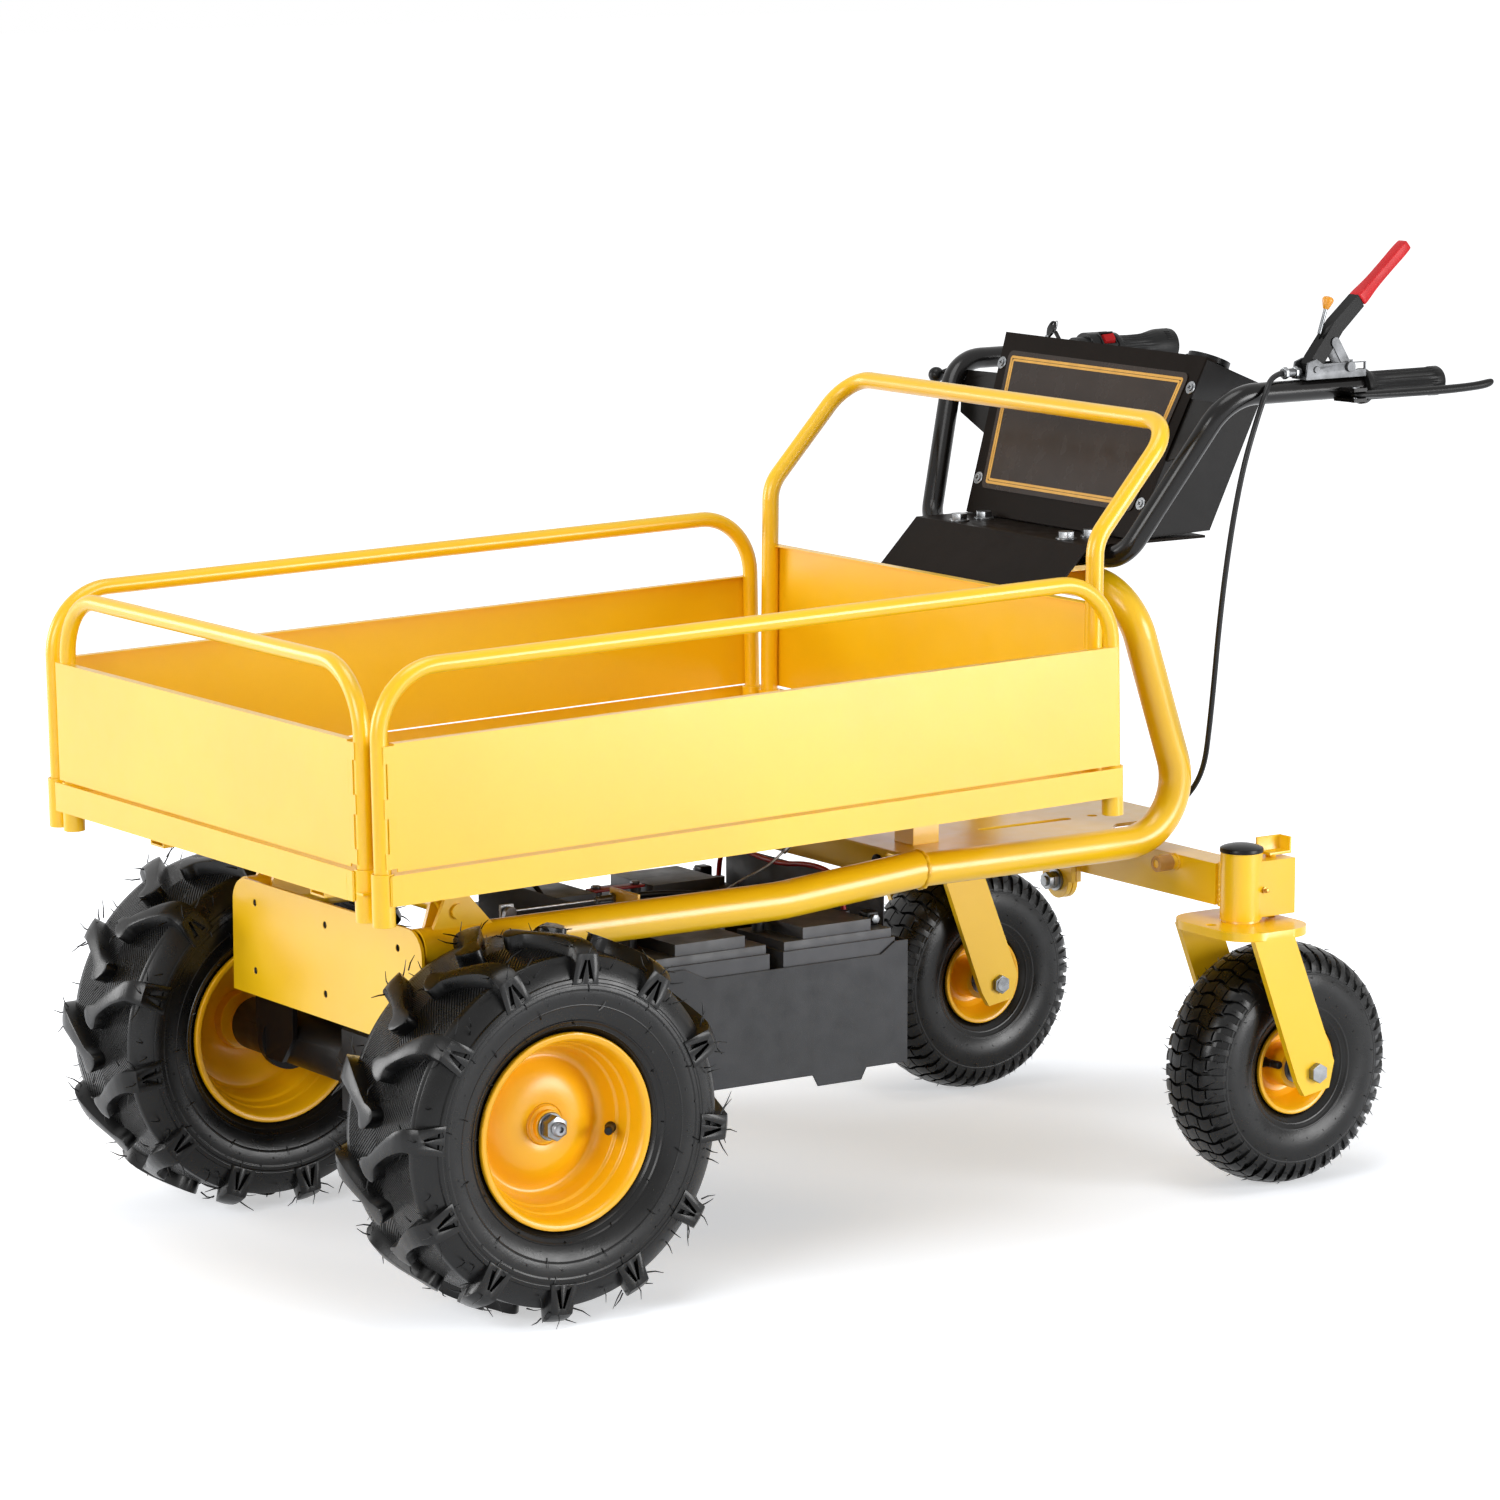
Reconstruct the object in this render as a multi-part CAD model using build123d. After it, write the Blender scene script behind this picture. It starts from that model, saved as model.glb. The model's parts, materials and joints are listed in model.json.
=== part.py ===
from build123d import *
import math

# An electric wheelbarrow, in millimetres. X runs from the drive wheels (-X, front) to the handles (+X),
# +Y is the operator's right hand, Z is up, and the tyres stand on Z = 0.

# Drive wheels
drive_x = -554.8
drive_y = 300.0
drive_radius = 205.0
drive_half = 82.5
carcass_radius = 190.0
lug_count = 12
drive_lip_half = 68.0
drive_lip_radius = 105.0
shaft_radius = 12.5

# Casters on the rocking rear axle
caster_y = 298.0
caster_radius = 140.0
caster_half = 50.0
swivel_x = 400.0
caster_x = 454.2
caster_lip_half = 38.0
caster_lip_radius = 55.0
bearing_radius = 17.5
caster_bolt_radius = 8.0
head_radius = 24.0
stem_radius = 15.0
head_low = 313.0
head_high = 390.0
fork_plate_low = 300.0
fork_plate_high = 310.0
fork_inner = 64.0
fork_outer = 72.0
lock_offset = 43.0
lock_pin_radius = 6.0

# Rear beam and its rocking pivot
beam_front = 380.0
beam_back = 420.0
beam_low = 327.0
beam_high = 375.0
pivot_z = 315.0
pivot_radius = 6.0
hanger_front = 366.0
hanger_back = 372.5
pivot_lug_half = 28.0
peg_y = 203.0

# Chassis tubes
tube_y = 180.0
front_tube_radius = 21.0
hoop_radius = 19.0
front_tube_z = 375.5
hoop_z = 389.5
front_tube_start = -622.0
ramp_start = -157.0
hoop_start = 34.0
hoop_low_corner = 425.0
hoop_top_x = 324.0
hoop_top_z = 683.0
plate_x = -624.0
plate_half = 201.0

# Tipping bed, set out along its own slope
bed_tilt = 1.3
bed_front_x = -761.6
bed_foot_z = 442.2
bed_length = 934.8
side_post_y = 349.4
end_post_y = 316.0
guard_post_y = 313.0
guard_foot = 12.0
guard_lean_u = 942.0
guard_lean_w = 300.0
guard_top_u = 1056.0
guard_top_w = 420.0
guard_top_y = 309.0
post_radius = 9.0
guard_radius = 10.0
socket_wall = 2.5
socket_fit = 0.5
socket_height = 55.0
band_low = 22.0
band_high = 54.0
floor_low = 30.0
floor_high = 32.5
sheet_low = 56.5
sheet_high = 188.0
sheet_thick = 1.5
rail_height = 262.0
guard_sheet_high = 229.0
hinge_x = -576.0
hinge_z = 412.0
hinge_radius = 8.0
bed_rail_y = 173.0
bed_rail_half = 15.0

# Battery tray
tray_front = -337.0
tray_back = 3.0
tray_half = 201.0
tray_low = 179.0
tray_high = 305.0
tray_wall = 2.0
battery_length = 151.0
battery_width = 98.0
battery_top = 340.0

# Deck plate over the rear tubes
deck_low = 400.0
deck_high = 404.0
deck_front = 32.0
deck_back = 445.0
deck_half = 160.5
deck_narrow = 138.0
deck_step = 320.0

# Handlebar, its mounting plate and the console
bar_radius = 12.5
bar_wall = 2.0
cross_x = 314.0
cross_z = 718.5
cross_half = 185.0
handle_y = 258.0
handle_z = 905.0
handle_start = 404.0
handle_end = 706.0
mount_low = 731.0
mount_high = 734.0
mount_half = 164.0
face_foot = (350.0, 735.0)
face_top = (430.0, 939.0)
console_depth = 98.0
console_back_foot = (461.0, 738.0)
console_half_low = 158.0
console_spread = 0.1495
sheet_metal = 2.0

# Parking brake lever on the left handle
park_x = 522.0
park_z = 929.0
park_half = 8.0
link_upper = (31.2, 29.2)
link_lower = (49.3, 1.0)
slot_travel = 18.5
pin_radius = 3.0

# Brake lever on the left handle
lever_pivot_x = 569.0
lever_pivot_y = -284.0
lever_low = 895.5
lever_high = 902.5
lever_end = 777.5

# Small ball-ended lever on the right handle
ball_pivot = (420.0, 279.0, 893.0)
ball_centre = (402.0, 293.0, 884.0)

# Twist throttle on the right handle
housing_front = 584.0
housing_back = 634.0
throttle_front = 640.0
throttle_back = 734.0
throttle_flare = 21.0
rocker_x = 623.0
rocker_lean = 50.0

# Brake arm on the gearcase
arm_pivot = (-500.0, 250.0)
arm_tip = (-468.0, 387.0)
arm_y = -120.0
wire_y = -113.0
wire_radius = 1.2
wire_drop = 5.5

# Cords
cable_radius = 3.25
cable_route = [
    (480.3, -258.0, 926.0), (460.0, -266.0, 924.5), (442.0, -278.0, 908.0), (427.0, -280.0, 876.0),
    (413.0, -277.0, 830.0), (405.0, -270.0, 772.0), (400.0, -262.0, 705.0), (397.0, -255.0, 637.0),
    (400.0, -244.0, 573.0), (408.0, -227.0, 519.0), (418.0, -208.0, 478.0), (425.0, -184.0, 448.0),
    (422.0, -160.0, 424.0), (407.0, -150.0, 403.0), (379.0, -148.0, 389.0), (330.0, -149.0, 385.0),
    (260.0, -148.0, 387.0), (178.0, -149.0, 384.0), (97.0, -148.0, 386.0), (20.0, -149.0, 380.0),
    (-52.0, -151.0, 371.0), (-122.0, -151.0, 373.0), (-187.0, -148.0, 380.0), (-243.0, -133.0, 386.0),
    (-284.0, -117.0, 387.6), (-312.0, -113.0, 387.0),
]
tether_radius = 1.5
tether_route = [
    (-108.0, -156.3, 462.0), (-112.0, -150.0, 443.0), (-123.0, -142.0, 422.0), (-140.0, -130.0, 403.0),
    (-158.0, -111.0, 389.0), (-172.0, -88.0, 371.0), (-184.0, -69.0, 340.0), (-195.0, -56.0, 305.0),
    (-210.0, -48.0, 275.0), (-236.0, -43.0, 262.0), (-262.0, -41.0, 274.0), (-278.0, -40.0, 303.0),
    (-292.0, -41.0, 334.0), (-311.0, -40.0, 354.0), (-334.4, -39.0, 362.0),
]
lead_radius = 3.0
cross_lead_route = [
    (-30.5, -124.0, 343.0), (-30.5, -122.0, 366.0), (-32.0, -102.0, 383.0), (-35.0, -62.0, 386.0),
    (-37.0, -12.0, 378.0), (-36.0, 38.0, 379.0), (-34.0, 82.0, 385.0), (-31.5, 112.0, 379.0),
    (-30.5, 123.0, 360.0), (-30.5, 124.0, 343.0),
]
feed_lead_route = [
    (-315.5, 124.0, 343.0), (-315.0, 121.0, 362.0), (-311.0, 104.0, 375.0), (-304.0, 84.0, 366.0),
    (-298.0, 72.0, 345.0), (-292.0, 66.0, 315.0), (-289.0, 64.0, 285.0), (-288.0, 64.0, 230.4),
]

sides = (("left", -1), ("right", 1))


# Shared shapes

def save(name, *shapes):
    solids = [solid for shape in shapes for solid in shape.solids()]
    export_step(Compound(solids), f"parts/{name}.step")


def rod(start, end, radius, bore=0.0):
    start, end = Vector(*start), Vector(*end)
    plane = Plane(origin=start, z_dir=end - start)
    section = Circle(radius) - Circle(bore) if bore else Circle(radius)
    return extrude(plane * section, amount=(end - start).length)


def tube(points, radii, outer, inner=0.0):
    path = FilletPolyline(*points, radius=radii)
    section = Circle(outer) - Circle(inner) if inner else Circle(outer)
    return sweep(Plane(origin=path @ 0, z_dir=path % 0) * section, path=path)


def prism(points, axis, low, high, radius=0.0):
    places = {
        "x": [(low, a, b) for a, b in points],
        "y": [(a, low, b) for a, b in points],
        "z": [(a, b, low) for a, b in points],
    }[axis]
    outline = FilletPolyline(*places, radius=radius, close=True) if radius else Polyline(*places, close=True)
    direction = {"x": (1, 0, 0), "y": (0, 1, 0), "z": (0, 0, 1)}[axis]
    return extrude(make_face(outline), amount=high - low, dir=direction)


def block(x_low, x_high, y_low, y_high, z_low, z_high):
    size = Box(x_high - x_low, y_high - y_low, z_high - z_low)
    return Pos((x_low + x_high) / 2, (y_low + y_high) / 2, (z_low + z_high) / 2) * size


def turned(points, arcs=()):
    # A wheel part about the Y axis, from (across, radius) points; arcs maps a start index to a middle point.
    arcs = dict(arcs)
    edges = []
    for index, (across, radius) in enumerate(points):
        start = (0, across, radius)
        end = (0, *points[(index + 1) % len(points)])
        if index in arcs:
            edges.append(ThreePointArc(start, (0, *arcs[index]), end))
        else:
            edges.append(Line(start, end))
    return revolve(make_face(edges), axis=Axis.Y, revolution_arc=360)


def hexagon(centre, direction, across_flats, height):
    plane = Plane(origin=centre, z_dir=direction)
    return extrude(plane * RegularPolygon(across_flats / math.sqrt(3), 6), amount=height)


def place_wheel(shape, side, x, y, z):
    handed = mirror(shape, about=Plane.XZ) if side < 0 else shape
    return Pos(x, side * y, z) * handed


def bed_place(shape):
    return Pos(bed_front_x, 0, bed_foot_z) * (Rot(0, -bed_tilt, 0) * shape)


def both_sides(shape):
    return [shape, mirror(shape, about=Plane.XZ)]


def corner_radii(points):
    radii = []
    for before, corner, after in zip(points, points[1:], points[2:]):
        run_in = Vector(*corner) - Vector(*before)
        run_out = Vector(*after) - Vector(*corner)
        half_turn = math.radians(run_in.get_angle(run_out)) / 2
        radii.append(0.45 * min(run_in.length, run_out.length) / math.tan(half_turn))
    return radii


def cord(name, points, radius):
    radii = corner_radii(points)
    path = FilletPolyline(*points, radius=radii)
    solid = sweep(Plane(origin=path @ 0, z_dir=path % 0) * Circle(radius), path=path)
    share = solid.volume / (math.pi * radius ** 2 * path.length)
    print(name, "length", round(path.length), "volume share", round(share, 4))
    print(name, "radii", [round(value) for value in radii])
    return solid


# Drive wheels: tyre with bar lugs, dished rim, hub with its half shaft

def drive_lug():
    outline = [
        (-34, 2), (-24, -6), (-10, 0), (2, 22), (18, 48), (30, 60), (30, 84), (6, 84), (6, 66), (-8, 46),
        (-22, 24),
    ]
    bar = prism(outline, "z", carcass_radius - 30, drive_radius + 5)
    shoulder = drive_radius - 10
    envelope = turned([
        (-60, drive_radius), (60, drive_radius), (78, shoulder), (drive_half, shoulder - 10),
        (drive_half, 158), (70, 158), (60, carcass_radius - 8), (-60, carcass_radius - 8),
    ])
    return bar & envelope


def drive_tyre():
    carcass = turned(
        [(59.5, 99.4), (61.3, 106.2), (66, 186), (-66, 186), (-61.3, 106.2), (-59.5, 99.4), (-50, 97.5),
         (-58, 176), (58, 176), (50, 97.5)],
        {1: (81, 150), 2: (0, carcass_radius), 3: (-81, 150), 6: (-70, 148), 7: (0, 180), 8: (70, 148)},
    )
    lug = drive_lug()
    mirrored = mirror(lug, about=Plane.XZ)
    pitch = 360 / lug_count
    lugs = []
    for index in range(lug_count):
        lugs.append(Rot(0, index * pitch, 0) * lug)
        lugs.append(Rot(0, (index + 0.5) * pitch, 0) * mirrored)
    return carcass + lugs


def drive_rim():
    return turned([
        (drive_lip_half, drive_lip_radius), (62, drive_lip_radius), (60, 99), (40, 95), (20, 86), (-20, 86),
        (-40, 95), (-60, 99), (-62, drive_lip_radius), (-drive_lip_half, drive_lip_radius),
        (-drive_lip_half, 97), (-58, 93), (-42, 90), (-22, 81), (4, 81), (4, 70), (12, 52), (18, 38),
        (18, 22), (24, 22), (24, 38), (18, 54), (11, 68), (11, 77), (16, 81), (24, 81), (42, 90), (58, 93),
        (drive_lip_half, 97),
    ])


def drive_hub():
    barrel = rod((0, -12, 0), (0, 24, 0), 21.8) + rod((0, 23, 0), (0, 34, 0), 17)
    flange = rod((0, 2, 0), (0, 17.8, 0), 34)
    washer = rod((0, 33, 0), (0, 36.5, 0), 15)
    nut = hexagon((0, 36, 0), (0, 1, 0), 24, 13)
    stud = rod((0, 40, 0), (0, 56, 0), 8)
    shaft = rod((0, -200, 0), (0, -12, 0), shaft_radius)
    return barrel + flange + washer + nut + stud + shaft


for side_name, side in sides:
    for piece, shape in (("tyre", drive_tyre()), ("rim", drive_rim()), ("hub", drive_hub())):
        save(f"drive_{piece}_{side_name}", place_wheel(shape, side, drive_x, drive_y, drive_radius))


# Chassis tubes with the bed's hinge lugs

def side_tube():
    end_z = hoop_z + 1.5
    points = [
        (front_tube_start, tube_y, front_tube_z), (ramp_start, tube_y, front_tube_z),
        (hoop_start - 2.5, tube_y, end_z),
    ]
    shape = tube(points, [300.0], front_tube_radius, front_tube_radius - 3)
    lug_top = hinge_z + 16
    crown = [(hinge_x + 14, lug_top), (hinge_x - 14, lug_top)]
    outer_lug = prism([(hinge_x - 31, 392), (hinge_x + 46, 392), *crown], "y", tube_y + 3.5, tube_y + 8.5)
    inner_lug = prism([(hinge_x - 31, 374), (hinge_x + 46, 374), *crown], "y", tube_y - 22.5, tube_y - 17.5)
    hinge_hole = rod((hinge_x, 100, hinge_z), (hinge_x, 250, hinge_z), hinge_radius + 0.05)
    return shape + outer_lug + inner_lug - hinge_hole


def rear_hoop():
    points = [
        (hoop_start, -tube_y, hoop_z), (hoop_low_corner, -tube_y, hoop_z), (hoop_top_x, -tube_y, hoop_top_z),
        (hoop_top_x, tube_y, hoop_top_z), (hoop_low_corner, tube_y, hoop_z), (hoop_start, tube_y, hoop_z),
    ]
    shape = tube(points, [70.0, 60.0, 60.0, 70.0], hoop_radius, hoop_radius - 2.5)
    seat_top = cross_z - bar_radius
    seat = block(cross_x - 32, cross_x + 30, -125, 125, hoop_top_z + hoop_radius - 2, seat_top)
    for x in (cross_x - 18, cross_x + 18):
        for y in (-102, 102):
            seat -= rod((x, y, seat_top - 20), (x, y, seat_top + 5), 5.05)
    return shape + seat


def front_plate():
    low, high = 268, 396
    outline = [(-plate_half, low), (plate_half, low), (plate_half, high), (-plate_half, high)]
    shape = prism(outline, "x", plate_x - 4, plate_x, radius=28.0)
    shape += block(plate_x - 4, plate_x, -plate_half, plate_half, low, low + 60)
    shape += block(plate_x - 4, plate_x + 18, -plate_half + 3, plate_half - 3, low, low + 4)
    for y in (-152, 0, 152):
        for z in (296, 372):
            shape -= rod((plate_x - 10, y, z), (plate_x + 10, y, z), 4.0)
    return shape


def deck_plate():
    outline = [
        (deck_front, -deck_half), (deck_step, -deck_half), (deck_step + 24, -deck_narrow),
        (deck_back, -deck_narrow), (deck_back, deck_narrow), (deck_step + 24, deck_narrow),
        (deck_step, deck_half), (deck_front, deck_half),
    ]
    shape = prism(outline, "z", deck_low, deck_high, radius=10.0)
    for y in (-80, 80):
        slot = Pos(257, y, (deck_low + deck_high) / 2) * extrude(SlotOverall(132, 12), amount=10, both=True)
        shape -= slot
        shape -= rod((355, y, deck_low - 5), (355, y, deck_high + 5), 6)
    shape += block(deck_front, deck_front + 3, -118, 118, deck_low - 30, deck_low)
    for x in (75, 300):
        shape += block(x - 15, x + 15, -deck_half - 1, deck_half + 1, deck_low - 6, deck_low)
    for y in (-100, 100):
        shape += block(70, 106, y - 18, y + 18, deck_high - 1, 462)
    hanger = block(hanger_front, hanger_back, -pivot_lug_half, pivot_lug_half, pivot_z, deck_low)
    hanger += rod((hanger_front, 0, pivot_z), (hanger_back, 0, pivot_z), 22)
    return shape + hanger - rod((350, 0, pivot_z), (390, 0, pivot_z), pivot_radius + 0.05)


def transaxle():
    axle = rod((drive_x, -284, drive_radius), (drive_x, 284, drive_radius), 30)
    case_points = [
        (drive_x - 42, 160), (drive_x + 75, 150), (drive_x + 105, 180), (drive_x + 105, 255),
        (drive_x + 70, 285), (drive_x - 20, 270), (drive_x - 42, 250),
    ]
    case_low, case_high = -106, 20
    shape = axle + prism(case_points, "y", case_low, case_high)
    shape += rod((drive_x, case_low - 6, drive_radius), (drive_x, case_low + 1, drive_radius), 48)
    shape += rod((drive_x, case_high - 1, drive_radius), (drive_x, case_high + 12, drive_radius), 42)
    for y in (-206, 206):
        shape += rod((drive_x, y - 5, drive_radius), (drive_x, y + 5, drive_radius), 38)
    cheek = [(140, 215), (165, 185), (200, 185), (222, 215), (222, 325), (201, 354), (159, 354), (140, 325)]
    for x in (drive_x - 34, drive_x + 28):
        plate = prism(cheek, "x", x, x + 6)
        plate -= rod((x - 5, tube_y, front_tube_z), (x + 15, tube_y, front_tube_z), front_tube_radius + 0.3)
        for half in both_sides(plate):
            shape += half
    shape += rod((arm_pivot[0], arm_y + 4.3, arm_pivot[1]), (arm_pivot[0], -80, arm_pivot[1]), 12)
    shape += rod((arm_pivot[0], arm_y - 9, arm_pivot[1]), (arm_pivot[0], -80, arm_pivot[1]), 5)
    shape -= rod((drive_x, 95, drive_radius), (drive_x, 290, drive_radius), shaft_radius + 3)
    shape -= rod((drive_x, -290, drive_radius), (drive_x, -95, drive_radius), shaft_radius + 3)
    motor_y = (case_low + case_high) / 2
    motor = rod((drive_x + 105.2, motor_y, 216), (-345, motor_y, 216), 58)
    return shape, motor


hinge_rod = rod((hinge_x, -192, hinge_z), (hinge_x, 192, hinge_z), hinge_radius)
save("side_tubes", *both_sides(side_tube()))
save("rear_hoop", rear_hoop())
save("front_plate", front_plate())
save("hinge_rod", hinge_rod)
save("deck_plate", deck_plate())
save("transaxle", *transaxle())


# Brake arm, pulled by the cable

def brake_arm():
    foot, tip = Vector(arm_pivot[0], arm_y, arm_pivot[1]), Vector(arm_tip[0], arm_y, arm_tip[1])
    along = (tip - foot).normalized()
    across = Vector(along.Z, 0, -along.X)
    corners = [foot - across * 11, foot + across * 11, tip + across * 7, tip - across * 7]
    shape = prism([(point.X, point.Z) for point in corners], "y", arm_y - 4, arm_y + 4)
    for point, radius in ((foot, 11), (tip, 7)):
        shape += rod((point.X, arm_y - 4, point.Z), (point.X, arm_y + 4, point.Z), radius)
    hole = rod((foot.X, arm_y - 20, foot.Z), (foot.X, arm_y + 20, foot.Z), 5.06)
    return shape - hole + rod((tip.X, arm_y + 4, tip.Z), (tip.X, arm_y + 10, tip.Z), 4)


save("brake_arm", brake_arm())


# Battery tray, batteries, leads and motor controller

def battery_tray():
    outer = block(tray_front, tray_back, -tray_half, tray_half, tray_low, 318)
    room = tray_half - tray_wall
    inner = block(tray_front + tray_wall, tray_back - tray_wall, -room, room, tray_low + tray_wall, 400)
    dip = [
        (tray_front + 42, 330), (tray_front + 42, 318), (tray_front + 70, tray_high),
        (tray_back - 37, tray_high), (tray_back - 17, 318), (tray_back - 17, 330),
    ]
    shape = outer - inner - prism(dip, "y", -300, 300)
    shape += block(tray_back - tray_wall, tray_back, -156, 156, 310, 371)
    shape += block(tray_front, tray_front + tray_wall, -156, 156, 310, 371)
    foot = [(-127, 181), (-52, 181), (-60, 166), (-119, 166)]
    for half in both_sides(prism(foot, "y", tray_half - 2, tray_half)):
        shape += half
    return shape


def battery(x, side):
    y = side * (tray_half - tray_wall - 1 - battery_width / 2)
    floor = tray_low + tray_wall + 0.2
    long, wide = battery_length / 2, battery_width / 2
    step, brow = battery_top - 18, battery_top - 8
    shape = block(x - long, x + long, y - wide, y + wide, floor, step)
    shape += block(x - long + 3, x + long - 3, y - wide + 3, y + wide - 3, step, brow)
    shape += block(x - 46, x + 46, y - wide + 5, y + wide - 5, brow, battery_top + 5)
    for post_x in (x - 58, x + 58):
        shape += rod((post_x, y - 25 * side, brow), (post_x, y - 25 * side, battery_top + 2), 7)
    return shape


battery_xs = (tray_front + 4 + battery_length / 2, tray_back - 16 - battery_length / 2)
batteries = [battery(x, side) for x in battery_xs for _, side in sides]
link_y = tray_half - tray_wall - 1 - battery_width / 2 - 25
link_front = battery_xs[0] + 58
link_back = battery_xs[1] - 58
link_low = battery_top + 2.2
links = both_sides(block(link_front - 9, link_back + 9, link_y - 8, link_y + 8, link_low, link_low + 3))
cross_lead = cord("cross lead", cross_lead_route, lead_radius)
feed_leads = both_sides(cord("feed lead", feed_lead_route, lead_radius))
controller = block(-300, -100, -85, 85, tray_low + tray_wall + 0.2, 230)
for fin_y in range(-76, 77, 19):
    controller += block(-270, -104, fin_y - 2, fin_y + 2, 229, 244)
save("battery_tray", battery_tray())
save("batteries", *batteries)
save("battery_leads", cross_lead, *feed_leads, *links)
save("motor_controller", controller)


# Rear beam with head tubes, lock housings and stop pegs, all welded

def rear_beam():
    beam = block(beam_front, beam_back, -276, 276, beam_low, beam_high)
    beam -= block(beam_front + 3, beam_back - 3, -270, 270, beam_low + 3, beam_high - 3)
    lug_front = hanger_back + 1
    lug = block(lug_front, beam_front + 0.2, -pivot_lug_half, pivot_lug_half, pivot_z, beam_high)
    lug += rod((lug_front, 0, pivot_z), (beam_front, 0, pivot_z), 22)
    shape = beam + lug - rod((360, 0, pivot_z), (beam_front + 1, 0, pivot_z), pivot_radius + 0.06)
    for _, side in sides:
        y = side * caster_y
        shape += rod((swivel_x, y, head_low), (swivel_x, y, head_high), head_radius)
        shape += block(swivel_x + 4, swivel_x + 62, y - 21, y + 21, 316, 380)
        shape += rod((beam_front - 27, side * peg_y, 366), (beam_front + 1, side * peg_y, 366), 8)
        shape -= rod((swivel_x, y, 300), (swivel_x, y, 400), stem_radius)
        lock_x = swivel_x + lock_offset
        shape -= rod((lock_x, y, 300), (lock_x, y, 400), lock_pin_radius + 0.05)
    return shape


def head_cap(y):
    lip = rod((swivel_x, y, head_high + 0.2), (swivel_x, y, head_high + 5), head_radius + 1)
    dome = Pos(swivel_x, y, head_high + 5) * Cone(head_radius + 1, head_radius - 8, 5,
                                                  align=(Align.CENTER, Align.CENTER, Align.MIN))
    return lip + dome


def caster_fork(side):
    y = side * caster_y
    outline = [
        (swivel_x - 57, y - fork_outer), (swivel_x + 58, y - fork_outer), (swivel_x + 58, y + fork_outer),
        (swivel_x - 57, y + fork_outer),
    ]
    plate = prism(outline, "z", fork_plate_low, fork_plate_high, radius=40.0)
    stem = rod((swivel_x, y, fork_plate_high - 2), (swivel_x, y, head_high - 4), stem_radius - 0.05)
    washer = rod((swivel_x, y, fork_plate_high), (swivel_x, y, head_low - 0.4), head_radius - 2)
    shape = plate + stem + washer
    leg = [
        (swivel_x - 38, fork_plate_low + 1), (swivel_x + 20, fork_plate_low + 1), (caster_x + 27, 150),
        (caster_x + 20, 120), (caster_x - 16, 114), (caster_x - 27, 132),
    ]
    for low in (y - fork_outer, y + fork_inner):
        shape += prism(leg, "y", low, low + fork_outer - fork_inner)
    for x in (swivel_x - lock_offset, swivel_x + lock_offset):
        shape -= rod((x, y, 290), (x, y, 320), 6.5)
    bore = caster_bolt_radius + 0.05
    return shape - rod((caster_x, y - 90, caster_radius), (caster_x, y + 90, caster_radius), bore)


def caster_axle(side):
    y = side * caster_y
    outward = (0, side, 0)
    ends = (y - side * 79, y + side * 72)
    shank = rod((caster_x, ends[0], caster_radius), (caster_x, ends[1], caster_radius), caster_bolt_radius)
    head = hexagon((caster_x, y + side * 72, caster_radius), outward, 20, 8)
    nut = hexagon((caster_x, y - side * 78, caster_radius), outward, 20, 6)
    spacers = []
    for end in (-1, 1):
        inner_y, outer_y = sorted((y + end * 38.6, y + end * 63.7))
        spacers.append(rod((caster_x, inner_y, caster_radius), (caster_x, outer_y, caster_radius), 12.5,
                           caster_bolt_radius + 0.05))
    return [shank + head + nut, *spacers]


def caster_tyre():
    return turned(
        [(30.5, 50.7), (32.3, 56), (40, 132), (-40, 132), (-32.3, 56), (-30.5, 50.7), (-22, 48.8), (-33, 124),
         (33, 124), (22, 48.8)],
        {1: (caster_half, 96), 2: (0, caster_radius), 3: (-caster_half, 96), 6: (-42, 94), 7: (0, 131),
         8: (42, 94)},
    )


def caster_rim():
    lip, edge = caster_lip_half, caster_lip_radius
    bore = bearing_radius + 0.05
    return turned([
        (lip, edge), (33, edge), (31, 50), (16, 46), (-16, 46), (-31, 50), (-33, edge), (-lip, edge),
        (-lip, 49), (-30, 46), (-14, 42.5), (-3, 42.5), (-3, 24), (-lip, 24), (-lip, bore), (lip, bore),
        (lip, 24), (3, 24), (3, 42.5), (14, 42.5), (30, 46), (lip, 49),
    ])


def caster_bearings():
    inner = caster_bolt_radius + 0.06
    ends = (-caster_lip_half, caster_lip_half - 10)
    return [rod((0, low, 0), (0, low + 10, 0), bearing_radius, inner) for low in ends]


def lock_pin(side):
    y = side * caster_y
    x = swivel_x + lock_offset
    pin = rod((x, y, fork_plate_high + 1.5), (x, y, 386), lock_pin_radius)
    handle = block(swivel_x + 34, swivel_x + 66, y - 9, y + 9, 383, 386)
    inner_low, inner_high = sorted((y - side * 9, y - side * 11.5))
    handle += block(swivel_x + 30, swivel_x + 66, inner_low, inner_high, 383, 402)
    handle += block(swivel_x + 63.5, swivel_x + 66, y - 9, y + 9, 383, 402)
    return pin + handle


save("rear_beam", rear_beam())
save("head_caps", *[head_cap(side * caster_y) for _, side in sides])
for side_name, side in sides:
    save(f"caster_fork_{side_name}", caster_fork(side))
    save(f"caster_axle_{side_name}", *caster_axle(side))
    save(f"caster_tyre_{side_name}", place_wheel(caster_tyre(), side, caster_x, caster_y, caster_radius))
    save(f"caster_rim_{side_name}", place_wheel(caster_rim(), side, caster_x, caster_y, caster_radius))
    rings = [place_wheel(ring, side, caster_x, caster_y, caster_radius) for ring in caster_bearings()]
    save(f"caster_bearings_{side_name}", *rings)
    save(f"lock_pin_{side_name}", lock_pin(side))


# Bed: floor pan with its edge band, sockets, and the rails with hinge ears

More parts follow.
